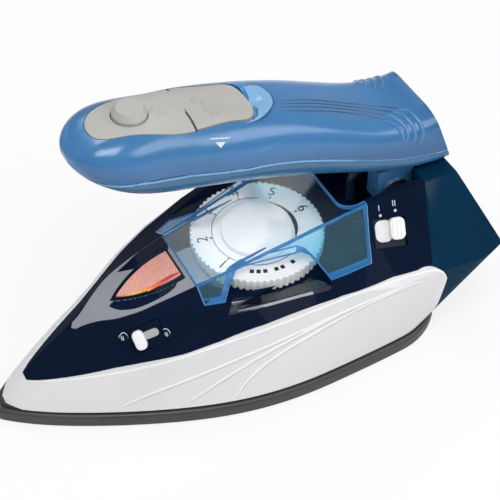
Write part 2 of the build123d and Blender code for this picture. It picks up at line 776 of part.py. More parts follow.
with BuildPart() as body_shell:
    add(shell)
    add(below_skirt_gap, mode=Mode.SUBTRACT)
    add(deck.part)
    add(deck_floor.part)
    add(ramps.part)
    add(front_of_parting, mode=Mode.INTERSECT)
    add(cover_bay, mode=Mode.SUBTRACT)
    with BuildSketch(across(SCOOP_FRONT)):
        with BuildLine():
            Polyline(
                (SCOOP_INNER, DECK_Z), (SCOOP_INNER + SCOOP_RUN, DECK_Z + SCOOP_RUN * SCOOP_RISE),
                (SCOOP_INNER + SCOOP_RUN, FAR / 4), (SCOOP_INNER, FAR / 4), close=True,
            )
        make_face()
        mirror(about=Plane.YZ)
    extrude(amount=SCOOP_REAR - SCOOP_FRONT, mode=Mode.SUBTRACT)
    with BuildSketch(Plane.XY.offset(DECK_Z)):
        with Locations((at(DIAL_STATION), 0)):
            Circle(DIAL_RADIUS + DIAL_POCKET)
    extrude(amount=FAR / 4, mode=Mode.SUBTRACT)
    with BuildSketch(Plane.XY.offset(DECK_Z)):
        with Locations((at(DIAL_STATION), 0)):
            Circle(SHAFT_RADIUS + SLIDE_PLAY)
        with Locations((at(TUBE_RISE), TUBE_MIDDLE)):
            Circle(TUBE_RADIUS + SLIDE_PLAY)
    extrude(amount=-2 * DECK_THICK, mode=Mode.SUBTRACT)
    # Open top for the handle's root
    with BuildSketch(Plane.XY.offset(PIVOT_Z)):
        with BuildLine():
            Polyline(
                (at(COVER_REAR) - 1, MOUTH_LIP - between(SHOULDER, COVER_REAR, 1)),
                (at(COVER_REAR) - 1, between(SHOULDER, COVER_REAR, 1) - MOUTH_LIP),
                (at(NECK_CLEAR), between(SHOULDER, NECK_CLEAR, 1) - MOUTH_LIP),
                (at(NECK_CLEAR), MOUTH_LIP - between(SHOULDER, NECK_CLEAR, 1)), close=True,
            )
        make_face()
    extrude(amount=FAR / 4, mode=Mode.SUBTRACT)
    add(bosses)
    with BuildSketch(Plane.XZ):
        with Locations((at(PIVOT_STATION), PIVOT_Z)):
            Circle(PIN_RADIUS + SEAT)
    extrude(amount=PIN_OUTER + PARTING, both=True, mode=Mode.SUBTRACT)
    # Bed of the trim and hole of the lamp lens
    add(trim_recess.part, mode=Mode.SUBTRACT)
    with BuildSketch(Plane.XY.offset(DECK_Z - 4 * DECK_THICK)):
        add(lens_outline(LENS_FRONT, LENS_REAR, LENS_HALF, PARTING))
    extrude(amount=FAR / 8, mode=Mode.SUBTRACT)
    # Slot and bed of the steam slider
    with BuildSketch(slider_plane.offset(-GUIDE_THICK)):
        with Locations((guide_centre, 0)):
            Rectangle(GUIDE_LENGTH + 2 * PARTING, GUIDE_HEIGHT + 2 * PARTING)
    extrude(amount=4 * GUIDE_THICK, mode=Mode.SUBTRACT)
    with BuildSketch(slider_plane):
        with Locations((guide_centre, 0)):
            Rectangle(NECK + SLIDER_TRAVEL + 4 * SLIDE_PLAY, NECK + 4 * SLIDE_PLAY)
    extrude(amount=-2 * WALL, mode=Mode.SUBTRACT)
    # Window of the voltage slider, with the wall thinned behind it
    with BuildSketch(volt_plane):
        Rectangle(VOLT_WINDOW, VOLT_WINDOW_HEIGHT)
    extrude(amount=WALL, both=True, mode=Mode.SUBTRACT)
    with BuildSketch(volt_plane.offset(-VOLT_WALL)):
        with Locations((-0.5 * VOLT_TRAVEL - 0.5 * VOLT_LAP, 0)):
            Rectangle(
                VOLT_WINDOW + VOLT_TRAVEL + VOLT_LAP + 2 * SLIDE_PLAY,
                VOLT_WINDOW_HEIGHT + VOLT_LAP + 2 * SLIDE_PLAY,
            )
    extrude(amount=-2 * WALL, mode=Mode.SUBTRACT)
body_shell.part.label = "body_shell"
export_step(body_shell.part, "parts/body_shell.step")

# Rear cover: dark moulding that closes the back and flares into the heel rest
back_run = (TAIL - BACK_TOP) / (RIM_Z - TAIL_RIM_Z)
inlet_plane = Plane(
    origin=(at(TAIL - back_run * (INLET_Z - TAIL_RIM_Z)), 0, INLET_Z), x_dir=(0, 1, 0), z_dir=(1, 0, back_run),
)
with BuildPart() as rear_cover:
    add(shell)
    add(front_of_parting_gap, mode=Mode.SUBTRACT)
    add(below_skirt_gap, mode=Mode.SUBTRACT)
    with BuildSketch(Plane.XY.offset(PIVOT_Z)):
        with Locations((at(NECK_CLEAR) - FAR / 8, 0)):
            Rectangle(FAR / 4, 2 * BOSS_FACE)
    extrude(amount=FAR / 4, mode=Mode.SUBTRACT)
    with BuildSketch(inlet_plane):
        Circle(INLET_OUTER + SEAT)
    extrude(amount=2 * WALL, both=True, mode=Mode.SUBTRACT)
rear_cover.part.label = "rear_cover"
export_step(rear_cover.part, "parts/rear_cover.step")

# Cord bushing: soft collar in the back face where the mains cord enters
with BuildPart() as cord_bushing:
    with BuildSketch(inlet_plane):
        Circle(COLLAR_RADIUS)
    extrude(amount=COLLAR_THICK)
    with BuildSketch(inlet_plane):
        Circle(INLET_OUTER)
    extrude(amount=-INLET_LENGTH)
    with BuildSketch(inlet_plane.offset(COLLAR_THICK)):
        Circle(INLET_BORE)
    extrude(amount=-2 * INLET_LENGTH, mode=Mode.SUBTRACT)
cord_bushing.part.label = "cord_bushing"
export_step(cord_bushing.part, "parts/cord_bushing.step")

# Dial cover: clear bridge over the dial with a finger arch on each side
cover_block = cover_space(0)
cover_core = shoulder_envelope(COVER_WALL)
arches = side_pockets(ARCH, ARCH_NEAR, FAR / 4)
with BuildPart() as dial_cover:
    add(outer)
    add(cover_block, mode=Mode.INTERSECT)
    add(cover_core, mode=Mode.SUBTRACT)
    add(arches, mode=Mode.SUBTRACT)
    with BuildSketch(Plane.XY.offset(PIVOT_Z - COVER_NOTCH)):
        with Locations((at(COVER_REAR) - COVER_NOTCH + NOTCH_HALF, 0)):
            RectangleRounded(2 * NOTCH_HALF, 2 * (NOTCH_HALF - 0.5), 7)
    extrude(amount=FAR / 4, mode=Mode.SUBTRACT)
dial_cover.part.label = "dial_cover"
export_step(dial_cover.part, "parts/dial_cover.step")

# Temperature dial: toothed white disc with a raised middle
with BuildPart() as temperature_dial:
    with BuildSketch(Plane.XY.offset(DIAL_TOP - DIAL_THICK)):
        with Locations((at(DIAL_STATION), 0)):
            Circle(DIAL_RADIUS)
            with PolarLocations(DIAL_RADIUS, DIAL_TEETH):
                Circle(TOOTH_RADIUS, mode=Mode.SUBTRACT)
    extrude(amount=DIAL_THICK)
    with BuildSketch(Plane.XY.offset(DIAL_TOP)):
        with Locations((at(DIAL_STATION), 0)):
            Circle(DIAL_CAP_RADIUS)
    extrude(amount=DIAL_CAP_HEIGHT)
    fillet(temperature_dial.edges().group_by(Axis.Z)[-1], 0.8)
temperature_dial.part.label = "temperature_dial"
export_step(temperature_dial.part, "parts/temperature_dial.step")

# Dial shaft: turns with the dial and sets the thermostat
with BuildPart() as dial_shaft:
    with BuildSketch(Plane.XY.offset(SHAFT_FOOT)):
        with Locations((at(DIAL_STATION), 0)):
            Circle(SHAFT_RADIUS)
    extrude(amount=DIAL_TOP - DIAL_THICK - SHAFT_FOOT)
dial_shaft.part.label = "dial_shaft"
export_step(dial_shaft.part, "parts/dial_shaft.step")

# Thermostat: switch stack on the sole with a bush for the shaft
with BuildPart() as thermostat:
    with BuildSketch(Plane.XY.offset(SOLE_THICK)):
        with Locations((at(DIAL_STATION), 0)):
            Circle(THERMOSTAT_RADIUS)
    extrude(amount=THERMOSTAT_TOP - SOLE_THICK)
    with BuildSketch(Plane.XY.offset(THERMOSTAT_TOP)):
        with Locations((at(DIAL_STATION), 0)):
            Circle(BUSH_RADIUS)
    extrude(amount=BUSH_TOP - THERMOSTAT_TOP)
    with BuildSketch(Plane.XY.offset(BUSH_TOP)):
        with Locations((at(DIAL_STATION), 0)):
            Circle(SHAFT_RADIUS + RUNNING)
    extrude(amount=SHAFT_FOOT - 1 - BUSH_TOP, mode=Mode.SUBTRACT)
thermostat.part.label = "thermostat"
export_step(thermostat.part, "parts/thermostat.step")

# Thermal fuse: sealed cartridge lying on the sole
with BuildPart() as thermal_fuse:
    with Locations((at(FUSE_STATION), 0, SOLE_THICK + FUSE_RADIUS)):
        Cylinder(FUSE_RADIUS, FUSE_LENGTH, rotation=(0, 90, 0))
thermal_fuse.part.label = "thermal_fuse"
export_step(thermal_fuse.part, "parts/thermal_fuse.step")

# Terminal block: hangs under the deck and joins the wires
with BuildPart() as terminal_block:
    with Locations((at(BLOCK[0]), BLOCK[1], DECK_Z - DECK_THICK - 0.5 * BLOCK[4])):
        Box(BLOCK[2], BLOCK[3], BLOCK[4])
terminal_block.part.label = "terminal_block"
export_step(terminal_block.part, "parts/terminal_block.step")

# Accent trim: grey inlay on the nose, open round the lamp lens
with BuildPart() as accent_trim:
    add(outer)
    with BuildSketch(Plane.XY):
        add(trim_outline(TRIM_EDGE))
        add(lens_outline(LEAF_FRONT, LEAF_REAR, LEAF_HALF, 0), mode=Mode.SUBTRACT)
    extrude(amount=FAR / 4, mode=Mode.INTERSECT)
    add(under_trim, mode=Mode.SUBTRACT)
accent_trim.part.label = "accent_trim"
export_step(accent_trim.part, "parts/accent_trim.step")

# Lamp lens: amber drop let into the nose
lens_top = shoulder_envelope(-LENS_PROUD)
lens_foot = shoulder_envelope(LENS_DEPTH)
with BuildPart() as lamp_lens:
    with BuildSketch(Plane.XY):
        add(lens_outline(LENS_FRONT, LENS_REAR, LENS_HALF, 0))
    extrude(amount=FAR / 4)
    add(lens_top, mode=Mode.INTERSECT)
    add(lens_foot, mode=Mode.SUBTRACT)
lamp_lens.part.label = "lamp_lens"
export_step(lamp_lens.part, "parts/lamp_lens.step")

# Indicator lamp: neon bulb under the lens
lamp_top = between(SHOULDER, LAMP_STATION - LAMP_RADIUS, 2) - LENS_DEPTH - SLIDE_PLAY
with BuildPart() as indicator_lamp:
    with BuildSketch(Plane.XY.offset(lamp_top)):
        with Locations((at(LAMP_STATION), 0)):
            Circle(LAMP_RADIUS)
    extrude(amount=-LAMP_LENGTH)
    fillet(indicator_lamp.edges().group_by(Axis.Z)[-1], 1.2)
indicator_lamp.part.label = "indicator_lamp"
export_step(indicator_lamp.part, "parts/indicator_lamp.step")

# Slider guide: grey track plate let into the near flank
with BuildPart() as slider_guide:
    with BuildSketch(slider_plane):
        with Locations((guide_centre, 0)):
            Rectangle(GUIDE_LENGTH, GUIDE_HEIGHT)
            Rectangle(
                NECK + SLIDER_TRAVEL + 2 * SLIDE_PLAY, NECK + 2 * SLIDE_PLAY, mode=Mode.SUBTRACT,
            )
    extrude(amount=-GUIDE_THICK)
slider_guide.part.label = "slider_guide"
export_step(slider_guide.part, "parts/slider_guide.step")

# Steam slider: white finger bar on a neck through the guide
with BuildPart() as steam_slider:
    with BuildSketch(slider_plane.offset(SLIDE_PLAY)):
        Rectangle(SLIDER_WIDTH, SLIDER_HEIGHT)
    extrude(amount=SLIDER_PROUD - SLIDE_PLAY)
    slider_axis = Axis(slider_plane.origin, slider_plane.z_dir)
    fillet(steam_slider.faces().sort_by(slider_axis)[-1].edges(), 0.7)
    with BuildSketch(slider_plane.offset(SLIDE_PLAY)):
        Rectangle(NECK, NECK)
    extrude(amount=-(SLIDE_PLAY + WALL + ARM_SINK))
steam_slider.part.label = "steam_slider"
export_step(steam_slider.part, "parts/steam_slider.step")

# Valve arm: strip behind the wall that carries the slider's move to the valve
with BuildPart() as valve_arm:
    with BuildSketch(slider_plane.offset(-WALL - ARM_SINK)):
        Rectangle(SLIDER_WIDTH, SLIDER_HEIGHT - ARM_THICK)
    extrude(amount=-ARM_THICK)
    with BuildSketch(Plane.XY.offset(VALVE_STEM_TOP + SLIDE_PLAY)):
        with Locations((at(VALVE_STATION), 0.5 * SLIDER_WIDTH - 0.5 * ARM_REACH)):
            Rectangle(SLIDER_WIDTH, ARM_REACH)
    extrude(amount=1.5 * ARM_THICK)
valve_arm.part.label = "valve_arm"
export_step(valve_arm.part, "parts/valve_arm.step")

# Steam valve: drips water from the tube through the chamber lid
with BuildPart() as steam_valve:
    with BuildSketch(Plane.XY.offset(SKIRT_Z)):
        with Locations((at(VALVE_STATION), 0)):
            Circle(VALVE_RADIUS)
    extrude(amount=VALVE_TOP - SKIRT_Z)
    with BuildSketch(Plane.XY.offset(VALVE_TOP)):
        with Locations((at(VALVE_STATION), 0)):
            Circle(0.4 * VALVE_RADIUS)
    extrude(amount=VALVE_STEM_TOP - VALVE_TOP)
    with BuildSketch(Plane.XY.offset(SKIRT_Z)):
        with Locations((at(VALVE_STATION), 0)):
            Circle(VALVE_DRIP)
    extrude(amount=TUBE_Z - SKIRT_Z, mode=Mode.SUBTRACT)
steam_valve.part.label = "steam_valve"
export_step(steam_valve.part, "parts/steam_valve.step")

# Water tube: leads from the hollow hinge pin to the valve
with BuildPart() as water_tube:
    with BuildLine():
        tube_path = FilletPolyline(
            (at(VALVE_STATION) + VALVE_RADIUS, 0, TUBE_Z), (at(VALVE_STATION) + 3 * VALVE_RADIUS, 0, TUBE_Z),
            (at(SCREW_STATIONS[0]), TUBE_SIDE, TUBE_Z), (at(TUBE_RISE) - 10, TUBE_SIDE, TUBE_Z),
            (at(TUBE_RISE), TUBE_MIDDLE, TUBE_Z), (at(TUBE_RISE), TUBE_MIDDLE, PIVOT_Z - 6),
            (at(PIVOT_STATION), TUBE_MIDDLE, PIVOT_Z), (at(PIVOT_STATION), PIN_INNER, PIVOT_Z), radius=3,
        )
    with BuildSketch(Plane(origin=tube_path @ 0, z_dir=tube_path % 0)):
        Circle(TUBE_RADIUS)
    sweep(path=tube_path)
water_tube.part.label = "water_tube"
export_step(water_tube.part, "parts/water_tube.step")

# Voltage slider: white plate with a ribbed grip in the near flank's window
with BuildPart() as voltage_slider:
    with BuildSketch(volt_plane.offset(-VOLT_WALL - SLIDE_PLAY)):
        with Locations((-0.5 * VOLT_LAP, 0)):
            Rectangle(VOLT_WINDOW + VOLT_LAP - 2 * SLIDE_PLAY, VOLT_WINDOW_HEIGHT + VOLT_LAP)
    extrude(amount=-VOLT_PLATE)
    with BuildSketch(volt_plane.offset(-VOLT_WALL - SLIDE_PLAY)):
        with Locations((0.5 * (VOLT_WINDOW - VOLT_GRIP) - SLIDE_PLAY, 0)):
            Rectangle(VOLT_GRIP, VOLT_WINDOW_HEIGHT - 2 * SLIDE_PLAY)
    extrude(amount=VOLT_WALL + SLIDE_PLAY + VOLT_PROUD)
    with BuildSketch(volt_plane.offset(VOLT_PROUD)):
        with Locations((0.5 * (VOLT_WINDOW - VOLT_GRIP) - SLIDE_PLAY, 0)):
            with GridLocations(VOLT_GRIP / 3, 1, 3, 1):
                Rectangle(0.7, VOLT_WINDOW_HEIGHT)
    extrude(amount=-0.6, mode=Mode.SUBTRACT)
voltage_slider.part.label = "voltage_slider"
export_step(voltage_slider.part, "parts/voltage_slider.step")

# Voltage switch: closed housing behind the window that the plate slides in
with BuildPart() as voltage_switch:
    with BuildSketch(volt_plane.offset(-WALL - SLIDE_PLAY)):
        with Locations((-0.5 * VOLT_TRAVEL - VOLT_LAP, 0)):
            Rectangle(VOLT_WINDOW + VOLT_TRAVEL, VOLT_WINDOW_HEIGHT + VOLT_LAP)
    extrude(amount=-SWITCH_DEPTH)
    with BuildSketch(volt_plane.offset(-WALL)):
        with Locations((-0.5 * VOLT_TRAVEL - 0.5 * VOLT_LAP, 0)):
            Rectangle(2 * VOLT_WINDOW + FAR, VOLT_WINDOW_HEIGHT + VOLT_LAP + 2 * SLIDE_PLAY)
    extrude(amount=-(VOLT_PLATE + VOLT_WALL + 2 * SLIDE_PLAY - WALL), mode=Mode.SUBTRACT)
voltage_switch.part.label = "voltage_switch"
export_step(voltage_switch.part, "parts/voltage_switch.step")

# Handle tank: clear blue upper moulding of the handle, filled with water
above_split = split_space(0.5 * SEAL_GAP)
below_seal = split_space(-0.5 * SEAL_GAP)
roof_bed = pad_region(-ROOF_LAP, PAD_THICK + TANK_WALL)
pad_bed = pad_region(-PAD_PLAY, PAD_THICK)
button_plane = Plane(
    origin=(at(BUTTON_STATION), 0, BUTTON_Z), x_dir=(cos(radians(BUTTON_TILT)), 0, -sin(radians(BUTTON_TILT))),
    z_dir=(sin(radians(BUTTON_TILT)), 0, cos(radians(BUTTON_TILT))),
)
thumb_z = between(HANDLE_STATIONS, THUMB_STATION, 2) + THUMB_RADIUS - THUMB_DEPTH
with BuildPart() as tank_roof:
    add(handle_outer)
    add(roof_bed, mode=Mode.INTERSECT)
    add(above_split, mode=Mode.INTERSECT)
with BuildPart() as handle_tank:
    add(handle_outer)
    add(above_split, mode=Mode.INTERSECT)
    add(handle_inner, mode=Mode.SUBTRACT)
    add(tank_roof.part)
    add(pad_bed, mode=Mode.SUBTRACT)
    with BuildSketch(button_plane):
        Circle(BUTTON_RADIUS + CUP_WALL + 1.5 * SLIDE_PLAY)
    extrude(amount=-CUP_FLOOR, mode=Mode.SUBTRACT)
    with BuildSketch(Plane.XY.offset(PAD_BED[1][1] + TANK_WALL)):
        with Locations((at(0.5 * (MOUTH_FRONT + MOUTH_REAR)), 0)):
            RectangleRounded(MOUTH_REAR - MOUTH_FRONT, 2 * MOUTH_HALF, 2)
    extrude(amount=FAR / 8, mode=Mode.SUBTRACT)
    with Locations((at(THUMB_STATION), 0, thumb_z)):
        Sphere(THUMB_RADIUS, mode=Mode.SUBTRACT)
handle_tank.part.label = "handle_tank"
export_step(handle_tank.part, "parts/handle_tank.step")

# Tank seal: ring in the joint between the two handle mouldings
seal_outer = handle_envelope(0.25 * TANK_WALL)
seal_inner = handle_envelope(0.85 * TANK_WALL)
with BuildPart() as tank_seal:
    add(seal_outer)
    add(seal_inner, mode=Mode.SUBTRACT)
    add(below_seal, mode=Mode.INTERSECT)
    add(above_split, mode=Mode.SUBTRACT)
tank_seal.part.label = "tank_seal"
export_step(tank_seal.part, "parts/tank_seal.step")

# Handle base: lower moulding with two ears that swing on the hinge pins
with BuildPart() as handle_base:
    add(handle_outer)
    add(below_seal, mode=Mode.SUBTRACT)
    add(handle_inner, mode=Mode.SUBTRACT)
    with BuildSketch(Plane.XZ.offset(EAR_INNER)):
        with Locations((at(PIVOT_STATION), PIVOT_Z)):
            Circle(EAR_RADIUS)
        with Locations((at(PIVOT_STATION), 0.5 * (PIVOT_Z + NECK_TOP))):
            Rectangle(2 * EAR_RADIUS, NECK_TOP - PIVOT_Z)
    extrude(amount=EAR_OUTER - EAR_INNER)
    with BuildSketch(Plane.XZ.offset(-EAR_OUTER)):
        with Locations((at(PIVOT_STATION), PIVOT_Z)):
            Circle(EAR_RADIUS)
        with Locations((at(PIVOT_STATION), 0.5 * (PIVOT_Z + NECK_TOP))):
            Rectangle(2 * EAR_RADIUS, NECK_TOP - PIVOT_Z)
    extrude(amount=EAR_OUTER - EAR_INNER)
    with BuildSketch(Plane.XZ):
        with Locations((at(PIVOT_STATION), PIVOT_Z)):
            Circle(PIN_RADIUS + RUNNING)
    extrude(amount=2 * EAR_OUTER, both=True, mode=Mode.SUBTRACT)
    with BuildSketch(Plane.XY.offset(PIVOT_Z)):
        with Locations((at(PIVOT_STATION), 0.5 * (EAR_INNER + EAR_OUTER))):
            Circle(WATER_WAY)
    extrude(amount=NECK_TOP - PIVOT_Z + 2 * TANK_WALL, mode=Mode.SUBTRACT)
handle_base.part.label = "handle_base"
export_step(handle_base.part, "parts/handle_base.step")

# Hinge pins: two steel pins in the body, the far one hollow for the water
with BuildPart() as hinge_pins:
    with BuildSketch(Plane.XZ.offset(PIN_INNER)):
        with Locations((at(PIVOT_STATION), PIVOT_Z)):
            Circle(PIN_RADIUS)
    extrude(amount=PIN_OUTER - PIN_INNER)
    mirror(about=Plane.XZ)
    with BuildSketch(Plane.XZ.offset(-PIN_INNER)):
        with Locations((at(PIVOT_STATION), PIVOT_Z)):
            Circle(WATER_WAY)
    extrude(amount=PIN_INNER - EAR_OUTER, mode=Mode.SUBTRACT)
    with BuildSketch(Plane.XY.offset(PIVOT_Z)):
        with Locations((at(PIVOT_STATION), 0.5 * (EAR_INNER + EAR_OUTER))):
            Circle(WATER_WAY)
    extrude(amount=2 * PIN_RADIUS, mode=Mode.SUBTRACT)
hinge_pins.part.label = "hinge_pins"
export_step(hinge_pins.part, "parts/hinge_pins.step")

# Hinge washers: one thin ring on each pin between ear and boss
with BuildPart() as hinge_washers:
    with BuildSketch(Plane.XZ.offset(EAR_OUTER + 0.5 * (BOSS_FACE - EAR_OUTER - WASHER_THICK))):
        with Locations((at(PIVOT_STATION), PIVOT_Z)):
            Circle(WASHER_RADIUS)
            Circle(PIN_RADIUS + RUNNING, mode=Mode.SUBTRACT)
    extrude(amount=WASHER_THICK)
    mirror(about=Plane.XZ)
hinge_washers.part.label = "hinge_washers"
export_step(hinge_washers.part, "parts/hinge_washers.step")

# Front pad: soft grey panel round the steam button, with the lid's hinge web
front_skin = pad_region(0, PAD_THICK)
with BuildPart() as front_pad:
    add(handle_outer)
    add(front_skin, mode=Mode.INTERSECT)
    with BuildSketch(Plane.XY.offset(PAD_BED[1][1])):
        with Locations((at(PAD_SPLIT) - 0.5 * SPLIT_GAP + FAR / 4, 0)):
            Rectangle(FAR / 2, FAR / 2)
        with Locations((at(PAD_SPLIT) - 0.5 * SPLIT_GAP, 0)):
            Rectangle(SPLIT_GAP, 2 * WEB_HALF, mode=Mode.SUBTRACT)
    extrude(amount=FAR / 8, mode=Mode.SUBTRACT)
    with BuildSketch(button_plane.offset(BUTTON_PROUD)):
        Circle(BUTTON_RADIUS + SLIDE_PLAY)
    extrude(amount=-CUP_FLOOR, mode=Mode.SUBTRACT)
front_pad.part.label = "front_pad"
export_step(front_pad.part, "parts/front_pad.step")

# Filler lid: rear part of the panel, lifted to fill the tank
lid_skin = pad_region(LID_LIFT, PAD_THICK - LID_LIFT)
with BuildPart() as filler_lid:
    add(handle_outer)
    add(lid_skin, mode=Mode.INTERSECT)
    with BuildSketch(Plane.XY.offset(PAD_BED[1][1])):
        with Locations((at(PAD_SPLIT) + 0.5 * SPLIT_GAP - FAR / 4, 0)):
            Rectangle(FAR / 2, FAR / 2)
    extrude(amount=FAR / 8, mode=Mode.SUBTRACT)
filler_lid.part.label = "filler_lid"
export_step(filler_lid.part, "parts/filler_lid.step")

# Lid seal: soft plug under the lid that closes the filler mouth
plug_top = handle_envelope(PAD_THICK - LID_LIFT)
plug_foot = handle_envelope(PAD_THICK + TANK_WALL + SEAL_DEPTH)
plug_front = MOUTH_FRONT + SEAL_PLAY
plug_rear = MOUTH_REAR - SEAL_REAR_PLAY
with BuildPart() as lid_seal:
    with BuildSketch(Plane.XY.offset(PAD_BED[1][1] + TANK_WALL)):
        with Locations((at(0.5 * (plug_front + plug_rear)), 0)):
            RectangleRounded(plug_rear - plug_front, 2 * (MOUTH_HALF - SEAL_PLAY), 1.6)
    extrude(amount=FAR / 8)
    add(plug_top, mode=Mode.INTERSECT)
    add(plug_foot, mode=Mode.SUBTRACT)
lid_seal.part.label = "lid_seal"
export_step(lid_seal.part, "parts/lid_seal.step")

# Pump cylinder: cup under the button with a narrow barrel
cup_radius = BUTTON_RADIUS + SLIDE_PLAY
with BuildPart() as pump_cylinder:
    with BuildSketch(button_plane.offset(-CUP_TOP)):
        Circle(cup_radius + CUP_WALL)
    extrude(amount=CUP_TOP - CUP_FLOOR - TANK_WALL)
    with BuildSketch(button_plane.offset(-FLANGE_TOP)):
        Circle(cup_radius + 2 * CUP_WALL)
    extrude(amount=-0.5 * TANK_WALL)
    with BuildSketch(button_plane.offset(-CUP_FLOOR)):
        Circle(PISTON_RADIUS + CUP_WALL + RUNNING)
    extrude(amount=CUP_FLOOR - BARREL_FOOT)
    with BuildSketch(button_plane.offset(-CUP_TOP)):
        Circle(cup_radius)
    extrude(amount=CUP_TOP - CUP_FLOOR, mode=Mode.SUBTRACT)
    with BuildSketch(button_plane.offset(-CUP_FLOOR)):
        Circle(ROD_RADIUS + RUNNING)
    extrude(amount=-TANK_WALL, mode=Mode.SUBTRACT)
    with BuildSketch(button_plane.offset(-CUP_FLOOR - TANK_WALL)):
        Circle(PISTON_RADIUS + RUNNING)
    extrude(amount=CUP_FLOOR - BARREL_FOOT, mode=Mode.SUBTRACT)
pump_cylinder.part.label = "pump_cylinder"
export_step(pump_cylinder.part, "parts/pump_cylinder.step")

# Steam button: domed push button through the front pad
with BuildPart() as steam_button:
    with BuildSketch(button_plane.offset(-BUTTON_SKIRT)):
        Circle(BUTTON_RADIUS)
    extrude(amount=BUTTON_SKIRT + 0.4 * BUTTON_PROUD)
    with BuildSketch(button_plane.offset(0.4 * BUTTON_PROUD)):
        Circle(BUTTON_RADIUS)
    with BuildSketch(button_plane.offset(BUTTON_PROUD)):
        Circle(BUTTON_TOP_RADIUS)
    loft()
steam_button.part.label = "steam_button"
export_step(steam_button.part, "parts/steam_button.step")

# Pump piston: rod and plunger under the button
with BuildPart() as pump_piston:
    with BuildSketch(button_plane.offset(-BUTTON_SKIRT)):
        Circle(ROD_RADIUS)
    extrude(amount=BUTTON_SKIRT - PISTON_TOP)
    with BuildSketch(button_plane.offset(-PISTON_TOP)):
        Circle(PISTON_RADIUS)
    extrude(amount=-PISTON_HEIGHT)
pump_piston.part.label = "pump_piston"
export_step(pump_piston.part, "parts/pump_piston.step")

# Pump spring: coil in the cup that lifts the button again
spring_height = CUP_FLOOR - BUTTON_SKIRT - 2 * SPRING_WIRE - 2 * PARTING
with BuildPart() as pump_spring:
    with BuildLine(button_plane.offset(-CUP_FLOOR + SPRING_WIRE + PARTING)):
        coil = Helix(pitch=spring_height / SPRING_TURNS, height=spring_height, radius=SPRING_RADIUS)
    with BuildSketch(Plane(origin=coil @ 0, z_dir=coil % 0)):
        Circle(SPRING_WIRE)
    sweep(path=coil, is_frenet=True)
pump_spring.part.label = "pump_spring"
export_step(pump_spring.part, "parts/pump_spring.step")
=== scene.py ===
from math import cos, pi, radians, sin

import bmesh
import bpy
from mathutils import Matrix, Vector
from mathutils.bvhtree import BVHTree
from mathutils.geometry import delaunay_2d_cdt


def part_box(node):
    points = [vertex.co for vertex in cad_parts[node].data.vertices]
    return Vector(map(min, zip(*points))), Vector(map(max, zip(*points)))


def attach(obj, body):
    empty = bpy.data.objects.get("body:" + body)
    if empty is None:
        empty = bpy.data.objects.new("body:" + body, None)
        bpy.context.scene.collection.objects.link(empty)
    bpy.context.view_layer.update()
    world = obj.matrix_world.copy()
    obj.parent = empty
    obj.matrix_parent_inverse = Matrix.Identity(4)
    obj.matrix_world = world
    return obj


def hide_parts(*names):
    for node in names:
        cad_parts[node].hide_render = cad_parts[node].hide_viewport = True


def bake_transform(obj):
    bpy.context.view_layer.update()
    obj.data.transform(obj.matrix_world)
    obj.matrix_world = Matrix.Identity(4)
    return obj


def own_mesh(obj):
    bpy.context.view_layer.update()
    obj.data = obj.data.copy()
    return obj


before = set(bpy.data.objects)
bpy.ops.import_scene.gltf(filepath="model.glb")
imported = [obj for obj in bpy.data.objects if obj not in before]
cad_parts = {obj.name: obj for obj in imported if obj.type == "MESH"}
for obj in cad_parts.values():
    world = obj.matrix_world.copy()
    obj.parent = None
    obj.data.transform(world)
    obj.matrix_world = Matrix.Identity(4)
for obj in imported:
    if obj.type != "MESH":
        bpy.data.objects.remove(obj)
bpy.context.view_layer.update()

# Camera: a long lens from above the iron's left side and a little towards its nose,
# the way the photo was taken. Its rays also place the small printed and moulded marks.
camera_aim = Vector((0.0197, 0.0, 0.0363))
camera_way = Vector((-0.3147, -0.5822, 0.7497))
camera_distance = 0.48879
camera_data = bpy.data.cameras.new("camera")
camera_data.lens = 90.1
camera_data.sensor_width = 36.0
camera_data.clip_start = 0.01
camera = bpy.data.objects.new("camera", camera_data)
bpy.context.scene.collection.objects.link(camera)
camera.location = camera_aim + camera_distance * camera_way
camera.rotation_euler = (camera_aim - camera.location).to_track_quat("-Z", "Y").to_euler()
bpy.context.scene.camera = camera
bpy.context.view_layer.update()


def sight_line(px, py):
    """Start and direction of the ray through one pixel of the 500 by 500 picture."""
    half_pixels = 250
    half = 0.5 * camera_data.sensor_width / camera_data.lens
    local = Vector(((px / half_pixels - 1) * half, (1 - py / half_pixels) * half, -1.0))
    turn = camera.matrix_world.to_3x3()
    return camera.location.copy(), (turn @ local).normalized()


# Studio: white floor that keeps a soft shadow, white all round for the camera, and three
# large soft lamps. The world's own light is kept low so that dark gloss keeps its depth.
white = (1.0, 1.0, 1.0, 1.0)
bpy.context.scene.view_settings.view_transform = "Standard"
world = bpy.data.worlds.new("studio")
bpy.context.scene.world = world
world.use_nodes = True
world_nodes, world_links = world.node_tree.nodes, world.node_tree.links
world_nodes.clear()
world_out = world_nodes.new("ShaderNodeOutputWorld")
world_mix = world_nodes.new("ShaderNodeMixShader")
world_light = world_nodes.new("ShaderNodeBackground")
world_light.inputs["Color"].default_value = white
world_light.inputs["Strength"].default_value = 0.42
world_white = world_nodes.new("ShaderNodeBackground")
world_white.inputs["Color"].default_value = white
world_white.inputs["Strength"].default_value = 1.0
world_path = world_nodes.new("ShaderNodeLightPath")
world_seen = world_nodes.new("ShaderNodeMath")
world_seen.operation = "MAXIMUM"
world_links.new(world_path.outputs["Is Camera Ray"], world_seen.inputs[0])
world_links.new(world_path.outputs["Is Transmission Ray"], world_seen.inputs[1])
world_links.new(world_seen.outputs[0], world_mix.inputs["Fac"])
world_links.new(world_light.outputs[0], world_mix.inputs[1])
world_links.new(world_white.outputs[0], world_mix.inputs[2])
world_links.new(world_mix.outputs[0], world_out.inputs["Surface"])

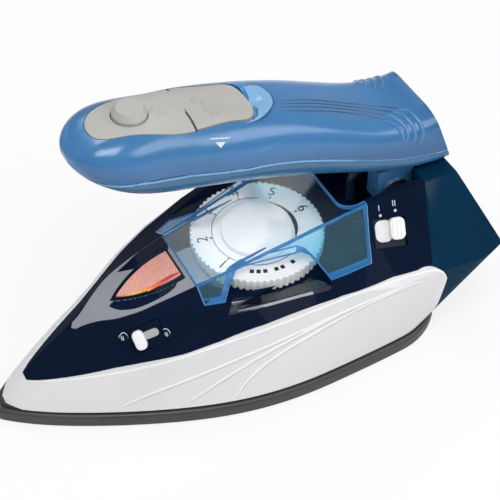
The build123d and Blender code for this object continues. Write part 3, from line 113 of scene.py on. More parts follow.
floor_half, floor_drop = 3, 0.0003
floor_mesh = bpy.data.meshes.new("floor")
floor_mesh.from_pydata([(floor_half * x, floor_half * y, 0)
                        for x, y in ((-1, -1), (1, -1), (1, 1), (-1, 1))], [], [(0, 1, 2, 3)])
floor = bpy.data.objects.new("floor", floor_mesh)
floor.location.z = -floor_drop
bpy.context.scene.collection.objects.link(floor)
paper = bpy.data.materials.new("studio_paper")
paper.use_nodes = True
paper_nodes, paper_links = paper.node_tree.nodes, paper.node_tree.links
paper_nodes.clear()
paper_out = paper_nodes.new("ShaderNodeOutputMaterial")
paper_mix = paper_nodes.new("ShaderNodeMixShader")
paper_lit = paper_nodes.new("ShaderNodeBsdfDiffuse")
paper_lit.inputs["Color"].default_value = (0.86, 0.86, 0.86, 1.0)
paper_glow = paper_nodes.new("ShaderNodeEmission")
paper_glow.inputs["Color"].default_value = white
paper_glow.inputs["Strength"].default_value = 1.0
paper_path = paper_nodes.new("ShaderNodeLightPath")
paper_share = paper_nodes.new("ShaderNodeMath")
paper_share.operation = "MULTIPLY"
paper_share.inputs[1].default_value = 0.78
paper_links.new(paper_path.outputs["Is Camera Ray"], paper_share.inputs[0])
paper_links.new(paper_share.outputs[0], paper_mix.inputs["Fac"])
paper_links.new(paper_lit.outputs[0], paper_mix.inputs[1])
paper_links.new(paper_glow.outputs[0], paper_mix.inputs[2])
paper_links.new(paper_mix.outputs[0], paper_out.inputs["Surface"])
floor_mesh.materials.append(paper)


def soft_lamp(name, place, aim, wide, tall, watts):
    """Large soft studio lamp turned towards a point."""
    data = bpy.data.lights.new(name, "AREA")
    data.shape = "RECTANGLE"
    data.size = wide
    data.size_y = tall
    data.energy = watts
    lamp = bpy.data.objects.new(name, data)
    lamp.location = place
    lamp.rotation_euler = (Vector(aim) - Vector(place)).to_track_quat("-Z", "Y").to_euler()
    bpy.context.scene.collection.objects.link(lamp)


soft_lamp("lamp_over", place=(-0.2, -0.34, 1.05), aim=(0.02, 0.0, 0.06),
          wide=0.7, tall=0.5, watts=6.6)
soft_lamp("lamp_side", place=(0.66, -0.62, 0.62), aim=(0.04, 0.0, 0.08),
          wide=0.85, tall=0.42, watts=3.6)
soft_lamp("lamp_far", place=(0.05, 0.68, 0.95), aim=(0.02, 0.0, 0.06),
          wide=0.5, tall=0.22, watts=2.0)


# Soleplate: cast aluminium block with a dark coated edge and a ground ironing face,
# held under the skirt by four screws.
def finish_of(name, colour, rough, deep=None, scale=60.0, bump=0.0, metal=0.0, coat=0.0, clear=0.0,
              rough_spread=0.06, shine=0.5):
    """Moulded or cast finish: two close tones, uneven gloss and a fine skin."""
    coat_rough, plastic_ior, smoothest = 0.08, 1.49, 0.02
    grain_scale, grain_height = 900.0, 0.0002
    mat = bpy.data.materials.new(name)
    mat.use_nodes = True
    nodes, links = mat.node_tree.nodes, mat.node_tree.links
    skin = nodes["Principled BSDF"]
    skin.inputs["Metallic"].default_value = metal
    skin.inputs["Coat Weight"].default_value = coat
    skin.inputs["Coat Roughness"].default_value = coat_rough
    skin.inputs["Transmission Weight"].default_value = clear
    skin.inputs["IOR"].default_value = plastic_ior
    skin.inputs["Specular IOR Level"].default_value = shine
    where = nodes.new("ShaderNodeTexCoord")
    cloud = nodes.new("ShaderNodeTexNoise")
    cloud.inputs["Scale"].default_value = scale
    cloud.inputs["Detail"].default_value = 4.0
    links.new(where.outputs["Object"], cloud.inputs["Vector"])
    tones = nodes.new("ShaderNodeValToRGB")
    dark, light = tones.color_ramp.elements
    dark.position, light.position = 0.3, 0.7
    dark.color = (*(deep or [0.9 * c for c in colour]), 1.0)
    light.color = (*colour, 1.0)
    links.new(cloud.outputs["Fac"], tones.inputs["Fac"])
    links.new(tones.outputs["Color"], skin.inputs["Base Color"])
    gloss = nodes.new("ShaderNodeMapRange")
    gloss.inputs["To Min"].default_value = max(smoothest, rough - rough_spread)
    gloss.inputs["To Max"].default_value = rough + rough_spread
    links.new(cloud.outputs["Fac"], gloss.inputs["Value"])
    links.new(gloss.outputs["Result"], skin.inputs["Roughness"])
    if bump:
        grain = nodes.new("ShaderNodeTexNoise")
        grain.inputs["Scale"].default_value = grain_scale
        grain.inputs["Detail"].default_value = 2.0
        links.new(where.outputs["Object"], grain.inputs["Vector"])
        raised = nodes.new("ShaderNodeBump")
        raised.inputs["Strength"].default_value = bump
        raised.inputs["Distance"].default_value = grain_height
        links.new(grain.outputs["Fac"], raised.inputs["Height"])
        links.new(raised.outputs["Normal"], skin.inputs["Normal"])
    return mat


def smooth_piece(node, body, mat):
    """Copy of a construction piece with its facets merged into smooth moulded faces."""
    weld, sharp_from = 2e-6, radians(32)
    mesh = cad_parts[node].data.copy()
    mesh.name = node + "_skin"
    work = bmesh.new()
    work.from_mesh(mesh)
    bmesh.ops.remove_doubles(work, verts=work.verts, dist=weld)
    bmesh.ops.recalc_face_normals(work, faces=work.faces)
    for face in work.faces:
        face.smooth = True
    work.to_mesh(mesh)
    work.free()
    if "custom_normal" in mesh.attributes:
        mesh.attributes.remove(mesh.attributes["custom_normal"])
    mesh.set_sharp_from_angle(angle=sharp_from)
    mesh.materials.clear()
    mesh.materials.append(mat)
    piece = bpy.data.objects.new(node + "_piece", mesh)
    bpy.context.scene.collection.objects.link(piece)
    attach(piece, body)
    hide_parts(node)
    return piece


sole_coat = finish_of("sole_coat", (0.058, 0.061, 0.063), 0.42, deep=(0.045, 0.047, 0.05),
                      metal=0.35, bump=0.25)
sole_piece = smooth_piece("soleplate", "base", sole_coat)
ground_face = finish_of("ground_face", (0.52, 0.53, 0.54), 0.24, deep=(0.47, 0.48, 0.49),
                        scale=90.0, metal=0.9, bump=0.08)
ground_nodes, ground_links = ground_face.node_tree.nodes, ground_face.node_tree.links
ground_nodes["Principled BSDF"].inputs["Anisotropic"].default_value = 0.5
ground_stretch = ground_nodes.new("ShaderNodeMapping")
ground_stretch.inputs["Scale"].default_value = (0.04, 1.0, 1.0)
ground_where = ground_nodes.new("ShaderNodeTexCoord")
ground_links.new(ground_where.outputs["Object"], ground_stretch.inputs["Vector"])
for ground_noise in [n for n in ground_nodes if n.type == "TEX_NOISE"]:
    ground_links.new(ground_stretch.outputs["Vector"], ground_noise.inputs["Vector"])
sole_piece.data.materials.append(ground_face)
ground_height = 0.0005
for face in sole_piece.data.polygons:
    if face.normal.z < -0.9 and face.center.z < ground_height:
        face.material_index = 1

# Skirt: white moulding round the hot sole, with a raised top rim and three sweeping creases
# pressed into each side. It is held by the same screws as the sole.
skirt_white = finish_of("skirt_white", (0.70, 0.70, 0.715), 0.3, deep=(0.69, 0.69, 0.706),
                        scale=14.0, bump=0.04, rough_spread=0.015, shine=0.4)
# Painted shadow: a grey finish for a thin line just under each crease.
skirt_painted_shadow = finish_of("skirt_painted_shadow", (0.54, 0.54, 0.555), 0.4, scale=14.0)
# Painted highlight: the creases and the top rim are whiter than the rest of the skirt.
crease_painted_highlight = finish_of("crease_painted_highlight", (0.85, 0.85, 0.86), 0.3, deep=(0.83, 0.83, 0.84),
                         scale=14.0)
smooth_piece("skirt", "base", skirt_white)
surfaces = {}


def surface_of(node):
    """Search tree over the faces of a construction piece, made once."""
    if node not in surfaces:
        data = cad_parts[node].data
        surfaces[node] = BVHTree.FromPolygons([v.co for v in data.vertices],
                                              [list(f.vertices) for f in data.polygons])
    return surfaces[node]


def on_surface(nodes, px, py):
    """Point and outward normal where the sight line of a pixel first meets one of the pieces."""
    best = None
    start, ray = sight_line(px, py)
    for node in nodes:
        place, normal, _, far = surface_of(node).ray_cast(start, ray)
        if place is not None and (best is None or far < best[2]):
            best = (place, normal if normal.dot(ray) < 0 else -normal, far)
    return best


def drawn_line(points, steps=6):
    """Smooth line through points of the picture."""
    line = []
    for i in range(len(points) - 1):
        p0, p1 = points[max(i - 1, 0)], points[i]
        p2, p3 = points[i + 1], points[min(i + 2, len(points) - 1)]
        for k in range(steps):
            t = k / steps
            line.append(tuple(
                0.5 * (2 * b + (c - a) * t + (2 * a - 5 * b + 4 * c - d) * t * t
                       + (3 * b - a - 3 * c + d) * t ** 3)
                for a, b, c, d in zip(p0, p1, p2, p3)
            ))
    line.append(tuple(points[-1]))
    return line


def spots_on(nodes, points, steps=6):
    """Points and normals on the pieces along a line of the picture."""
    found = [on_surface(nodes, px, py) for px, py in drawn_line(points, steps)]
    return [hit[:2] for hit in found if hit is not None]


def add_piece(name, mesh, mat, body, smooth=True):
    """Puts one finished mesh on its body; with no body given it stays loose."""
    sharp_from = radians(40)
    if smooth:
        mesh.shade_smooth()
        mesh.set_sharp_from_angle(angle=sharp_from)
    mesh.materials.append(mat)
    piece = bpy.data.objects.new(name, mesh)
    bpy.context.scene.collection.objects.link(piece)
    if body:
        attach(piece, body)
    return piece


def closed_mesh(name, verts, faces):
    """Closed mesh with all its faces turned outwards."""
    mesh = bpy.data.meshes.new(name)
    mesh.from_pydata(verts, [], faces)
    work = bmesh.new()
    work.from_mesh(mesh)
    bmesh.ops.recalc_face_normals(work, faces=work.faces)
    work.to_mesh(mesh)
    work.free()
    return mesh


def bead(name, spots, radius, end_radius, mat, body, sink=0.45, both_sides=False, flat=1.0):
    """Round bead along points on a surface, sunk into it, also on the other side if wanted."""
    ring, tip_share, tip_growth = 10, 0.25, 4.0
    verts, faces = [], []
    last = len(spots) - 1
    for side in ((1, -1) if both_sides else (1,)):
        first = len(verts)
        for i, (place, normal) in enumerate(spots):
            along = (spots[min(i + 1, last)][0] - spots[max(i - 1, 0)][0]).normalized()
            out = (normal - along * normal.dot(along)).normalized()
            across = along.cross(out)
            taper = min(1.0, tip_growth * min(i, last - i) / last + tip_share)
            r = taper * (radius + (end_radius - radius) * i / last)
            for k in range(ring):
                turn = 2 * pi * k / ring
                round_way = out * (flat * sin(turn)) + across * cos(turn)
                spot = place - out * (sink * r) + round_way * r
                verts.append((spot.x, side * spot.y, spot.z))
        for i in range(last):
            for k in range(ring):
                a, b = first + i * ring + k, first + i * ring + (k + 1) % ring
                face = (a, b, b + ring, a + ring)
                faces.append(face if side == 1 else face[::-1])
        for end in (first, first + last * ring):
            faces.append(tuple(range(end, end + ring)))
    return add_piece(name, closed_mesh(name, verts, faces), mat, body)


# Each crease gets a whiter bead, a painted highlight, and just below it a thin grey bead, a painted
# shadow.
shade_right, shade_down = 0.6, 1.9
for number, crease in enumerate((
    ((122, 406), (152, 393.5), (205, 373), (264, 348), (317, 324), (367, 301.5), (411, 282.5)),
    ((188, 402), (217, 383.5), (252, 361.5), (293, 338.5), (337, 316), (381, 296), (418, 281.5)),
    ((236, 397), (249, 379), (273, 358.5), (308, 337), (352, 312), (390, 294), (424, 280.5)),
), 1):
    bead("skirt_crease_%d" % number, spots_on(["skirt"], crease), 0.0008, 0.00045, crease_painted_highlight,
         "base", sink=0.62, both_sides=True)
    under = [(px + shade_right, py + shade_down) for px, py in crease]
    bead("skirt_crease_shade_%d" % number, spots_on(["skirt"], under), 0.0004, 0.0003,
         skirt_painted_shadow, "base", sink=0.75, both_sides=True)
# The rim bead is whiter than the skirt, a painted highlight.
skirt_rim = spots_on(["skirt"], (
    (31, 382), (66, 380), (116, 373.5), (166, 362.5), (215, 347), (260, 332), (320, 309),
    (349, 297), (379, 286), (408, 277), (426, 272), (436, 270.5), (443, 273), (445, 279),
    (442, 288), (435, 300),
))
bead("skirt_rim", skirt_rim, 0.0006, 0.0006, crease_painted_highlight, "base",
     sink=0.6, both_sides=True)

# Body and rear cover: near-black navy mouldings with a soft gloss. The cover closes the back
# and flares into the heel rest; a fine parting line runs down between the two.
navy_tone, navy_deep = (0.0047, 0.0105, 0.029), (0.0039, 0.009, 0.025)
navy = finish_of("navy_gloss", navy_tone, 0.3, deep=navy_deep, bump=0.05, coat=0.045, shine=0.0)
body_piece = smooth_piece("body_shell", "base", navy)
# Painted sheen: the rear cover's navy is bluer and lighter than the body's, standing in for the
# teal sheen on the heel.
heel_painted_sheen = finish_of("heel_painted_sheen", (0.001, 0.026, 0.062), 0.4, deep=(0.001, 0.022, 0.053),
                      bump=0.05, coat=0.2, shine=0.0)
smooth_piece("rear_cover", "base", heel_painted_sheen)

# Grey inlay on the nose: one satin plastic moulding that is let flush into the shoulders of
# the body, with an opening that takes the lens of the lamp.
accent_grey = finish_of("accent_grey", (0.27, 0.275, 0.31), 0.42, bump=0.12, shine=0.35)
smooth_piece("accent_trim", "base", accent_grey)

# Lamp lens: amber drop with a fine diamond pattern, pushed into the inlay from above. Along its
# near edge a bead carries a painted glow, bright yellow to deep red; it gives off no light.
amber = finish_of("amber_lens", (0.80, 0.40, 0.33), 0.16, deep=(0.76, 0.34, 0.27), scale=500.0)
lens_nodes, lens_links = amber.node_tree.nodes, amber.node_tree.links
lens_where = lens_nodes.new("ShaderNodeTexCoord")
lens_height = lens_nodes.new("ShaderNodeMath")
lens_height.operation = "ADD"
for row, turn in enumerate((35, -35)):
    lens_turn = lens_nodes.new("ShaderNodeMapping")
    lens_turn.inputs["Rotation"].default_value = (0.0, 0.0, radians(turn))
    lens_wave = lens_nodes.new("ShaderNodeTexWave")
    lens_wave.inputs["Scale"].default_value = 260.0
    lens_links.new(lens_where.outputs["Object"], lens_turn.inputs["Vector"])
    lens_links.new(lens_turn.outputs["Vector"], lens_wave.inputs["Vector"])
    lens_links.new(lens_wave.outputs["Fac"], lens_height.inputs[row])
lens_bump = lens_nodes.new("ShaderNodeBump")
lens_bump.inputs["Strength"].default_value = 0.5
lens_bump.inputs["Distance"].default_value = 0.0003
lens_links.new(lens_height.outputs[0], lens_bump.inputs["Height"])
lens_links.new(lens_bump.outputs["Normal"], lens_nodes["Principled BSDF"].inputs["Normal"])
smooth_piece("lamp_lens", "base", amber)


def share_along(mat, start, end, ease="LINEAR"):
    """How far a spot lies between two places on the iron's length, from 0 to 1."""
    nodes, links = mat.node_tree.nodes, mat.node_tree.links
    where = nodes.new("ShaderNodeTexCoord")
    split = nodes.new("ShaderNodeSeparateXYZ")
    share = nodes.new("ShaderNodeMapRange")
    share.interpolation_type = ease
    share.inputs["From Min"].default_value = start
    share.inputs["From Max"].default_value = end
    links.new(where.outputs["Object"], split.inputs[0])
    links.new(split.outputs["X"], share.inputs["Value"])
    return share.outputs["Result"]


# Painted glow: the lens edge bead's yellow to red stands in for lamp light; it gives off no light.
painted_glow = bpy.data.materials.new("lens_glow")
painted_glow.use_nodes = True
glow_nodes, glow_links = painted_glow.node_tree.nodes, painted_glow.node_tree.links
glow_skin = glow_nodes["Principled BSDF"]
glow_skin.inputs["Roughness"].default_value = 0.2
glow_ramp = glow_nodes.new("ShaderNodeValToRGB")
glow_ramp.color_ramp.elements[0].color = (0.8, 0.3, 0.05, 1.0)
glow_ramp.color_ramp.elements[1].color = (0.35, 0.01, 0.01, 1.0)
for along, tone in (
    (0.28, (1.0, 0.62, 0.1, 1.0)), (0.5, (0.9, 0.2, 0.02, 1.0)), (0.72, (0.62, 0.02, 0.01, 1.0)),
):
    glow_ramp.color_ramp.elements.new(along).color = tone
glow_links.new(share_along(painted_glow, -0.037, -0.013), glow_ramp.inputs["Fac"])
glow_links.new(glow_ramp.outputs["Color"], glow_skin.inputs["Base Color"])
lens_edge = spots_on(["lamp_lens"], (
    (120, 296.5), (128, 296), (142, 292), (158, 284), (170, 277), (179, 272.5),
))
bead("lens_glow_edge", lens_edge, 0.0008, 0.0009, painted_glow, "base", sink=0.25, flat=0.6)


# Dark inlays on the nose: two thin crescents of the body's own navy plastic, let into the grey
# inlay so that they frame the lens on both sides.
def inlay(name, outline, nodes, lift, mat, body, steps=5, grid=2.5):
    """Thin plate that follows a surface inside an outline of the picture."""
    depth, longest_side, join_within = 0.0003, 0.006, 0.01
    rim = drawn_line(list(outline) + [outline[0]], steps)[:-1]
    low = [min(q[k] for q in rim) for k in (0, 1)]
    high = [max(q[k] for q in rim) for k in (0, 1)]
    inside = []
    for i in range(1, int((high[0] - low[0]) / grid) + 1):
        for j in range(1, int((high[1] - low[1]) / grid) + 1):
            inside.append((low[0] + i * grid, low[1] + j * grid))
    count = len(rim)
    loop = [(i, (i + 1) % count) for i in range(count)]
    flat, _, tris, _, _, _ = delaunay_2d_cdt(
        [Vector(q) for q in rim + inside], loop, [list(range(count))], 1, join_within)
    work = bmesh.new()
    tops = []
    for q in flat:
        hit = on_surface(nodes, q[0], q[1])
        tops.append(work.verts.new(hit[0] + hit[1] * lift) if hit else None)
    for tri in tris:
        corners = [tops[k] for k in tri]
        if all(corners) and max((a.co - b.co).length
                                for a in corners for b in corners) < longest_side:
            work.faces.new(corners)
    bmesh.ops.delete(work, geom=[v for v in work.verts if not v.link_faces], context="VERTS")
    bmesh.ops.recalc_face_normals(work, faces=work.faces)
    bmesh.ops.solidify(work, geom=list(work.faces), thickness=depth)
    bmesh.ops.recalc_face_normals(work, faces=work.faces)
    mesh = bpy.data.meshes.new(name)
    work.to_mesh(mesh)
    work.free()
    return add_piece(name, mesh, mat, body)


crescent_lift = 0.00012
inlay("crescent_inlay", (
    (109, 306.5), (116, 300), (131, 298.5), (147, 294), (163, 286), (174, 279), (177, 281),
    (175, 287), (166, 294.5), (150, 303), (135, 308.5), (120, 310),
), ["accent_trim"], crescent_lift, navy, "base", grid=0.8)
inlay("shoulder_inlay", (
    (117, 272.3), (128, 270), (140, 267.5), (152, 262), (164, 254), (168.5, 247.5), (164, 237),
    (159, 235.5), (150, 242), (140, 250), (128, 262),
), ["accent_trim"], crescent_lift, navy, "base", grid=0.8)

# Finger ramp and panel before the dial: a polished facet of the navy body leads the fingertip
# to the dial's teeth, and a satin grey field is painted on the body's roof under the cover.
ramp_gloss = finish_of("ramp_gloss", navy_tone, 0.15, deep=navy_deep, scale=30.0, coat=0.8)
ramp_lift = 0.00014
inlay("finger_ramp", (
    (228.5, 315.2), (231, 306.5), (235, 298.5), (255, 296.5), (275, 292), (300, 284),
    (312, 278.5), (331.5, 288.5), (300, 297.5), (265, 307),
), ["body_shell"], ramp_lift, ramp_gloss, "base", steps=6, grid=0.7)
panel_grey = finish_of("panel_grey", (0.34, 0.36, 0.41), 0.4, bump=0.12, shine=0.35)
body_piece.data.materials.append(panel_grey)
panel_front, panel_rear, panel_half = -0.0112, 0.002, 0.009
roof_height, roof_slope = 0.03, 0.3
panel = bmesh.new()
panel.from_mesh(body_piece.data)
for place, normal in (
    ((panel_front, 0, 0), (1, 0, 0)), ((panel_rear, 0, 0), (1, 0, 0)),
    ((0, -panel_half, 0), (0, 1, 0)), ((0, panel_half, 0), (0, 1, 0)),
):
    roof = [f for f in panel.faces
            if f.normal.z > roof_slope and f.calc_center_median().z > roof_height]
    roof_edges = dict.fromkeys(e for f in roof for e in f.edges)
    roof_verts = dict.fromkeys(v for f in roof for v in f.verts)
    bmesh.ops.bisect_plane(panel, geom=roof + list(roof_edges) + list(roof_verts),
                           plane_co=place, plane_no=normal)
for face in panel.faces:
    spot = face.calc_center_median()
    in_field = panel_front < spot.x < panel_rear and abs(spot.y) < panel_half
    if in_field and face.normal.z > roof_slope and spot.z > roof_height:
        face.material_index = 1
panel.to_mesh(body_piece.data)
panel.free()

# Temperature dial: white moulding with teeth for the fingertips and a raised middle. Plain
# numbers and heat dots are printed on it, and a dark arc on one side of the raised middle is a
# painted shadow; it turns on the thermostat's shaft.
knob_white = finish_of("knob_white", (0.86, 0.86, 0.87), 0.32, deep=(0.84, 0.84, 0.85),
                       bump=0.06, shine=0.35)
# Dark ink for the print, also used for the painted shadow arc.
ink = finish_of("dark_ink_and_painted_shadow", (0.012, 0.014, 0.02), 0.5)
# The dial's white is lighter than the sliders' white as painted light, making up for the shade
# under the clear cover.
dial_lit_white = finish_of("dial_lit_white", (0.93, 0.93, 0.94), 0.32, deep=(0.91, 0.91, 0.92),
                       bump=0.06, shine=0.35)
smooth_piece("temperature_dial", "dial", dial_lit_white)
dial_low, dial_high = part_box("temperature_dial")
dial_mid = 0.5 * (dial_low + dial_high)
middle_rise = 0.002
face_z = dial_high.z - middle_rise


def printed_arc(name, inner, outer, start, end, swell=False):
    """Flat arc round the dial's middle, for print and for a painted shadow, thinning to its ends if
    wanted.
    """
    thickness, step_angle, thinnest, swell_power = 0.00006, 4, 0.08, 0.6
    steps = max(6, int(abs(end - start) / step_angle))
    middle = 0.5 * (inner + outer)
    verts, faces = [], []
    for i in range(steps + 1):
        turn = radians(start + (end - start) * i / steps)
        share = sin(pi * i / steps) ** swell_power if swell else 1.0
        half = 0.5 * (outer - inner) * max(share, thinnest)
        for radius in (middle - half, middle + half):
            for z in (face_z, face_z + thickness):
                verts.append((dial_mid.x + radius * cos(turn), dial_mid.y + radius * sin(turn), z))
    for k in range(0, 4 * steps, 4):
        faces += [(k + 1, k + 3, k + 7, k + 5), (k, k + 4, k + 6, k + 2),
                  (k, k + 1, k + 5, k + 4), (k + 2, k + 6, k + 7, k + 3)]
    faces += [(0, 2, 3, 1), (4 * steps, 4 * steps + 1, 4 * steps + 3, 4 * steps + 2)]
    return add_piece(name, closed_mesh(name, verts, faces), ink, "dial", smooth=False)


def printed_number(name, text, height, place, along, out, mat, body):
    """Plain printed figure lying on a surface, read along one direction."""
    half_thickness, lift = 0.00004, 0.00005
    curve = bpy.data.curves.new(name, "FONT")
    curve.body = text
    curve.size = height
    curve.extrude = half_thickness
    curve.align_x = "CENTER"
    curve.align_y = "CENTER"
    curve.resolution_u = 4
    drawn = bpy.data.objects.new(name + "_drawn", curve)
    bpy.context.scene.collection.objects.link(drawn)
    bpy.context.view_layer.update()
    shaped = drawn.evaluated_get(bpy.context.evaluated_depsgraph_get())
    mesh = bpy.data.meshes.new_from_object(shaped)
    bpy.data.objects.remove(drawn)
    out = out.normalized()
    along = (along - out * along.dot(out)).normalized()
    up = out.cross(along)
    for v in mesh.vertices:
        v.co = place + along * v.co.x + up * v.co.y + out * (v.co.z + lift)
    mesh.materials.clear()
    return add_piece(name, mesh, mat, body, smooth=False)


number_radius, number_height = 0.0213, 0.0062
tick_half, dot_half = 1.0, 2.2
dial_face = Vector((dial_mid.x, dial_mid.y, face_z))
# Painted shadow: a tapered dark arc on one side of the raised middle.
printed_arc("dial_painted_shadow_arc", inner=0.0143, outer=0.0162, start=-42, end=48, swell=True)
printed_arc("dial_scale_ring", inner=0.01735, outer=0.0176, start=60, end=300)
for number, turn in enumerate((205, 165, 125, 85, 45, 5), 1):
    spoke = Vector((cos(radians(turn)), sin(radians(turn)), 0.0))
    printed_number("dial_number_%d" % number, str(number), number_height,
                   dial_face + number_radius * spoke, Vector((spoke.y, -spoke.x, 0.0)),
                   Vector((0.0, 0.0, 1.0)), ink, "dial")
    printed_arc("dial_tick_%d" % number, inner=0.0176, outer=0.0187,
                start=turn - tick_half, end=turn + tick_half)
for number, turn in enumerate((236, 243, 250, 262, 269, 282), 1):
    printed_arc("dial_heat_dot_%d" % number, inner=0.0198, outer=0.0216,
                start=turn - dot_half, end=turn + dot_half)
printed_arc("dial_pointer", inner=0.0152, outer=0.0182, start=216, end=226, swell=True)

# Steam slider: white finger bar with round ends on a neck through its track, with a grey
# blanking strip behind it. Steam marks are printed on the body at both ends of its travel.
slide_mid = Vector((-0.0358, -0.01707439, 0.0332))
slide_x = Vector((0.8991788, -0.2667179, 0.3468991)).normalized()
slide_out = Vector((-0.4280967, -0.7003574, 0.5711678)).normalized()
slide_axes = (slide_x, slide_out.cross(slide_x), slide_out)
smooth_piece("slider_guide", "base", navy)


def round_bar(verts, faces, mid, axes, wide, tall, corner, rings):
    """Bar with rounded ends in a slider's plane: one ring of points per height and inset."""
    per, smallest_corner = 28, 0.0002
    per_quarter = per // 4
    along, across, out = axes
    first = len(verts)
    for height, inset in rings:
        w, t = 0.5 * wide - inset, 0.5 * tall - inset
        r = max(corner - inset, smallest_corner)
        for k in range(per):
            quarter, step = divmod(k, per_quarter)
            turn = radians(90 * quarter + 90 * step / (per_quarter - 1))
            sx, sy = ((1, 1), (-1, 1), (-1, -1), (1, -1))[quarter]
            x, y = sx * (w - r) + r * cos(turn), sy * (t - r) + r * sin(turn)
            verts.append(mid + along * x + across * y + out * height)
    for i in range(len(rings) - 1):
        for k in range(per):
            a, b = first + i * per + k, first + i * per + (k + 1) % per
            faces.append((a, b, b + per, a + per))
    faces.append(tuple(range(first + per - 1, first - 1, -1)))
    faces.append(tuple(range(first + (len(rings) - 1) * per, first + len(rings) * per)))


bar_verts, bar_faces = [], []
round_bar(bar_verts, bar_faces, slide_mid, slide_axes, wide=0.0044, tall=0.0076, corner=0.0019,
          rings=((0.0003, 0.0001), (0.0004, 0.0), (0.0018, 0.0), (0.0023, 0.00018),
                 (0.00252, 0.0005), (0.0026, 0.001)))
round_bar(bar_verts, bar_faces, slide_mid, slide_axes, wide=0.0024, tall=0.0024, corner=0.0003,
          rings=((-0.0034, 0.0), (0.0006, 0.0)))
bar_mesh = bpy.data.meshes.new("steam_bar")
bar_mesh.from_pydata(bar_verts, [], bar_faces)
steam_bar = add_piece("steam_bar", bar_mesh, knob_white, "steam_control")
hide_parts("steam_slider")
strip_verts, strip_faces = [], []
strip_mid = slide_mid + 0.0046 * slide_x + 0.0005 * slide_axes[1]
round_bar(strip_verts, strip_faces, strip_mid, slide_axes, wide=0.0062, tall=0.0031, corner=0.0014,
          rings=((0.00004, 0.0), (0.00018, 0.0), (0.00022, 0.0002)))
strip_mesh = bpy.data.meshes.new("blanking_strip")
strip_mesh.from_pydata(strip_verts, [], strip_faces)
strip_grey = finish_of("strip_grey", (0.42, 0.42, 0.44), 0.4)
add_piece("blanking_strip", strip_mesh, strip_grey, "steam_control")
mark_white = finish_of("mark_white", (0.62, 0.64, 0.68), 0.5)
mark_radius, puff_gap = 0.00019, 1.8
cloud_shape = ((-4, 1.6), (-4.6, -0.2), (-3.2, -1.5), (-2.2, -3), (0, -3.8), (2.2, -3),
               (3.4, -1.5), (4.6, 0), (4, 1.6))
puff_shape = ((0, -0.6), (-0.7, 1.2), (0.5, 2.6), (-0.2, 4.2))
for number, (px, py) in enumerate(((123.5, 336.5), (165.5, 332.5)), 1):
    cloud = [(px + x, py + y) for x, y in cloud_shape]
    bead("steam_mark_cloud_%d" % number, spots_on(["body_shell"], cloud, 4), mark_radius,
         mark_radius, mark_white, "base", sink=0.3)
    for k in range(1 + number):
        puff_x = px - puff_gap + puff_gap * k
        puff = [(puff_x + x, py + y) for x, y in puff_shape]
        bead("steam_mark_puff_%d_%d" % (number, k + 1), spots_on(["body_shell"], puff, 3),
             mark_radius, mark_radius, mark_white, "base", sink=0.3)

# Voltage slider: white plate with a ribbed grip in a window of the near flank. A dot and a
# plain figure on the body mark each of its two places.
volt_mid = Vector((0.0634, -0.030621, 0.0532))
volt_x = Vector((0.9482953, -0.3173893, 0.0)).normalized()
volt_out = Vector((-0.2312, -0.6909, 0.6850)).normalized()
volt_axes = (volt_x, volt_out.cross(volt_x), volt_out)
track_dark = finish_of("track_dark", (0.022, 0.03, 0.042), 0.4, bump=0.1, shine=0.2)
track_verts, track_faces = [], []
round_bar(track_verts, track_faces, volt_mid - 0.0008 * volt_x, volt_axes,
          wide=0.0134, tall=0.013, corner=0.0006,
          rings=((-0.0029, 0.0), (-0.0018, 0.0), (-0.0017, 0.0001)))
track_mesh = bpy.data.meshes.new("voltage_track")
track_mesh.from_pydata(track_verts, [], track_faces)
voltage_track = add_piece("voltage_track", track_mesh, track_dark, "voltage_control")
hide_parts("voltage_slider")
grip_verts, grip_faces = [], []
round_bar(grip_verts, grip_faces, volt_mid - 0.0021 * volt_x + 0.0007 * volt_axes[1], volt_axes,
          wide=0.0066, tall=0.0084, corner=0.0026,
          rings=((-0.0018, 0.0), (-0.00168, 0.0), (-0.00164, 0.0001), (-0.00162, 0.0003)))
round_bar(grip_verts, grip_faces, volt_mid + 0.0028 * volt_x + 0.0013 * volt_axes[1], volt_axes,
          wide=0.0060, tall=0.0086, corner=0.0022,
          rings=((-0.0018, 0.0), (0.0003, 0.0), (0.00065, 0.0002), (0.0008, 0.0006)))
grip_mesh = bpy.data.meshes.new("voltage_grip")
grip_mesh.from_pydata(grip_verts, [], grip_faces)
add_piece("voltage_grip", grip_mesh, knob_white, "voltage_control")
ridge_start, ridge_gap, ridge_height = 0.0012, 0.0016, 0.0008
for number in range(3):
    ridge_foot = volt_mid + volt_x * (ridge_start + ridge_gap * number)
    ridge = [(ridge_foot + volt_axes[1] * y + volt_out * ridge_height, volt_out)
             for y in (-0.0022, -0.0006, 0.001, 0.0026, 0.0048)]
    bead("voltage_ridge_%d" % (number + 1), ridge, 0.0004, 0.0004, knob_white, "voltage_control",
         sink=0.4)
dot_radius, dot_lift = 1.5, 0.00008
figure_left, figure_up, figure_height = 1.5, 7, 0.0032
for number, figure, (px, py) in ((1, "I", (380.3, 215.6)), (2, "II", (395.2, 210.4))):
    round_dot = [(px + dot_radius * cos(k * pi / 4), py + dot_radius * sin(k * pi / 4))
                 for k in range(8)]
    inlay("voltage_dot_%d" % number, round_dot, ["body_shell"], dot_lift, mark_white, "base",
          steps=2)
    place, normal, _ = on_surface(["body_shell"], px - figure_left, py - figure_up)
    printed_number("voltage_figure_%d" % number, figure, figure_height, place,
                   Vector((0.948, -0.317, 0.0)), normal, mark_white, "base")

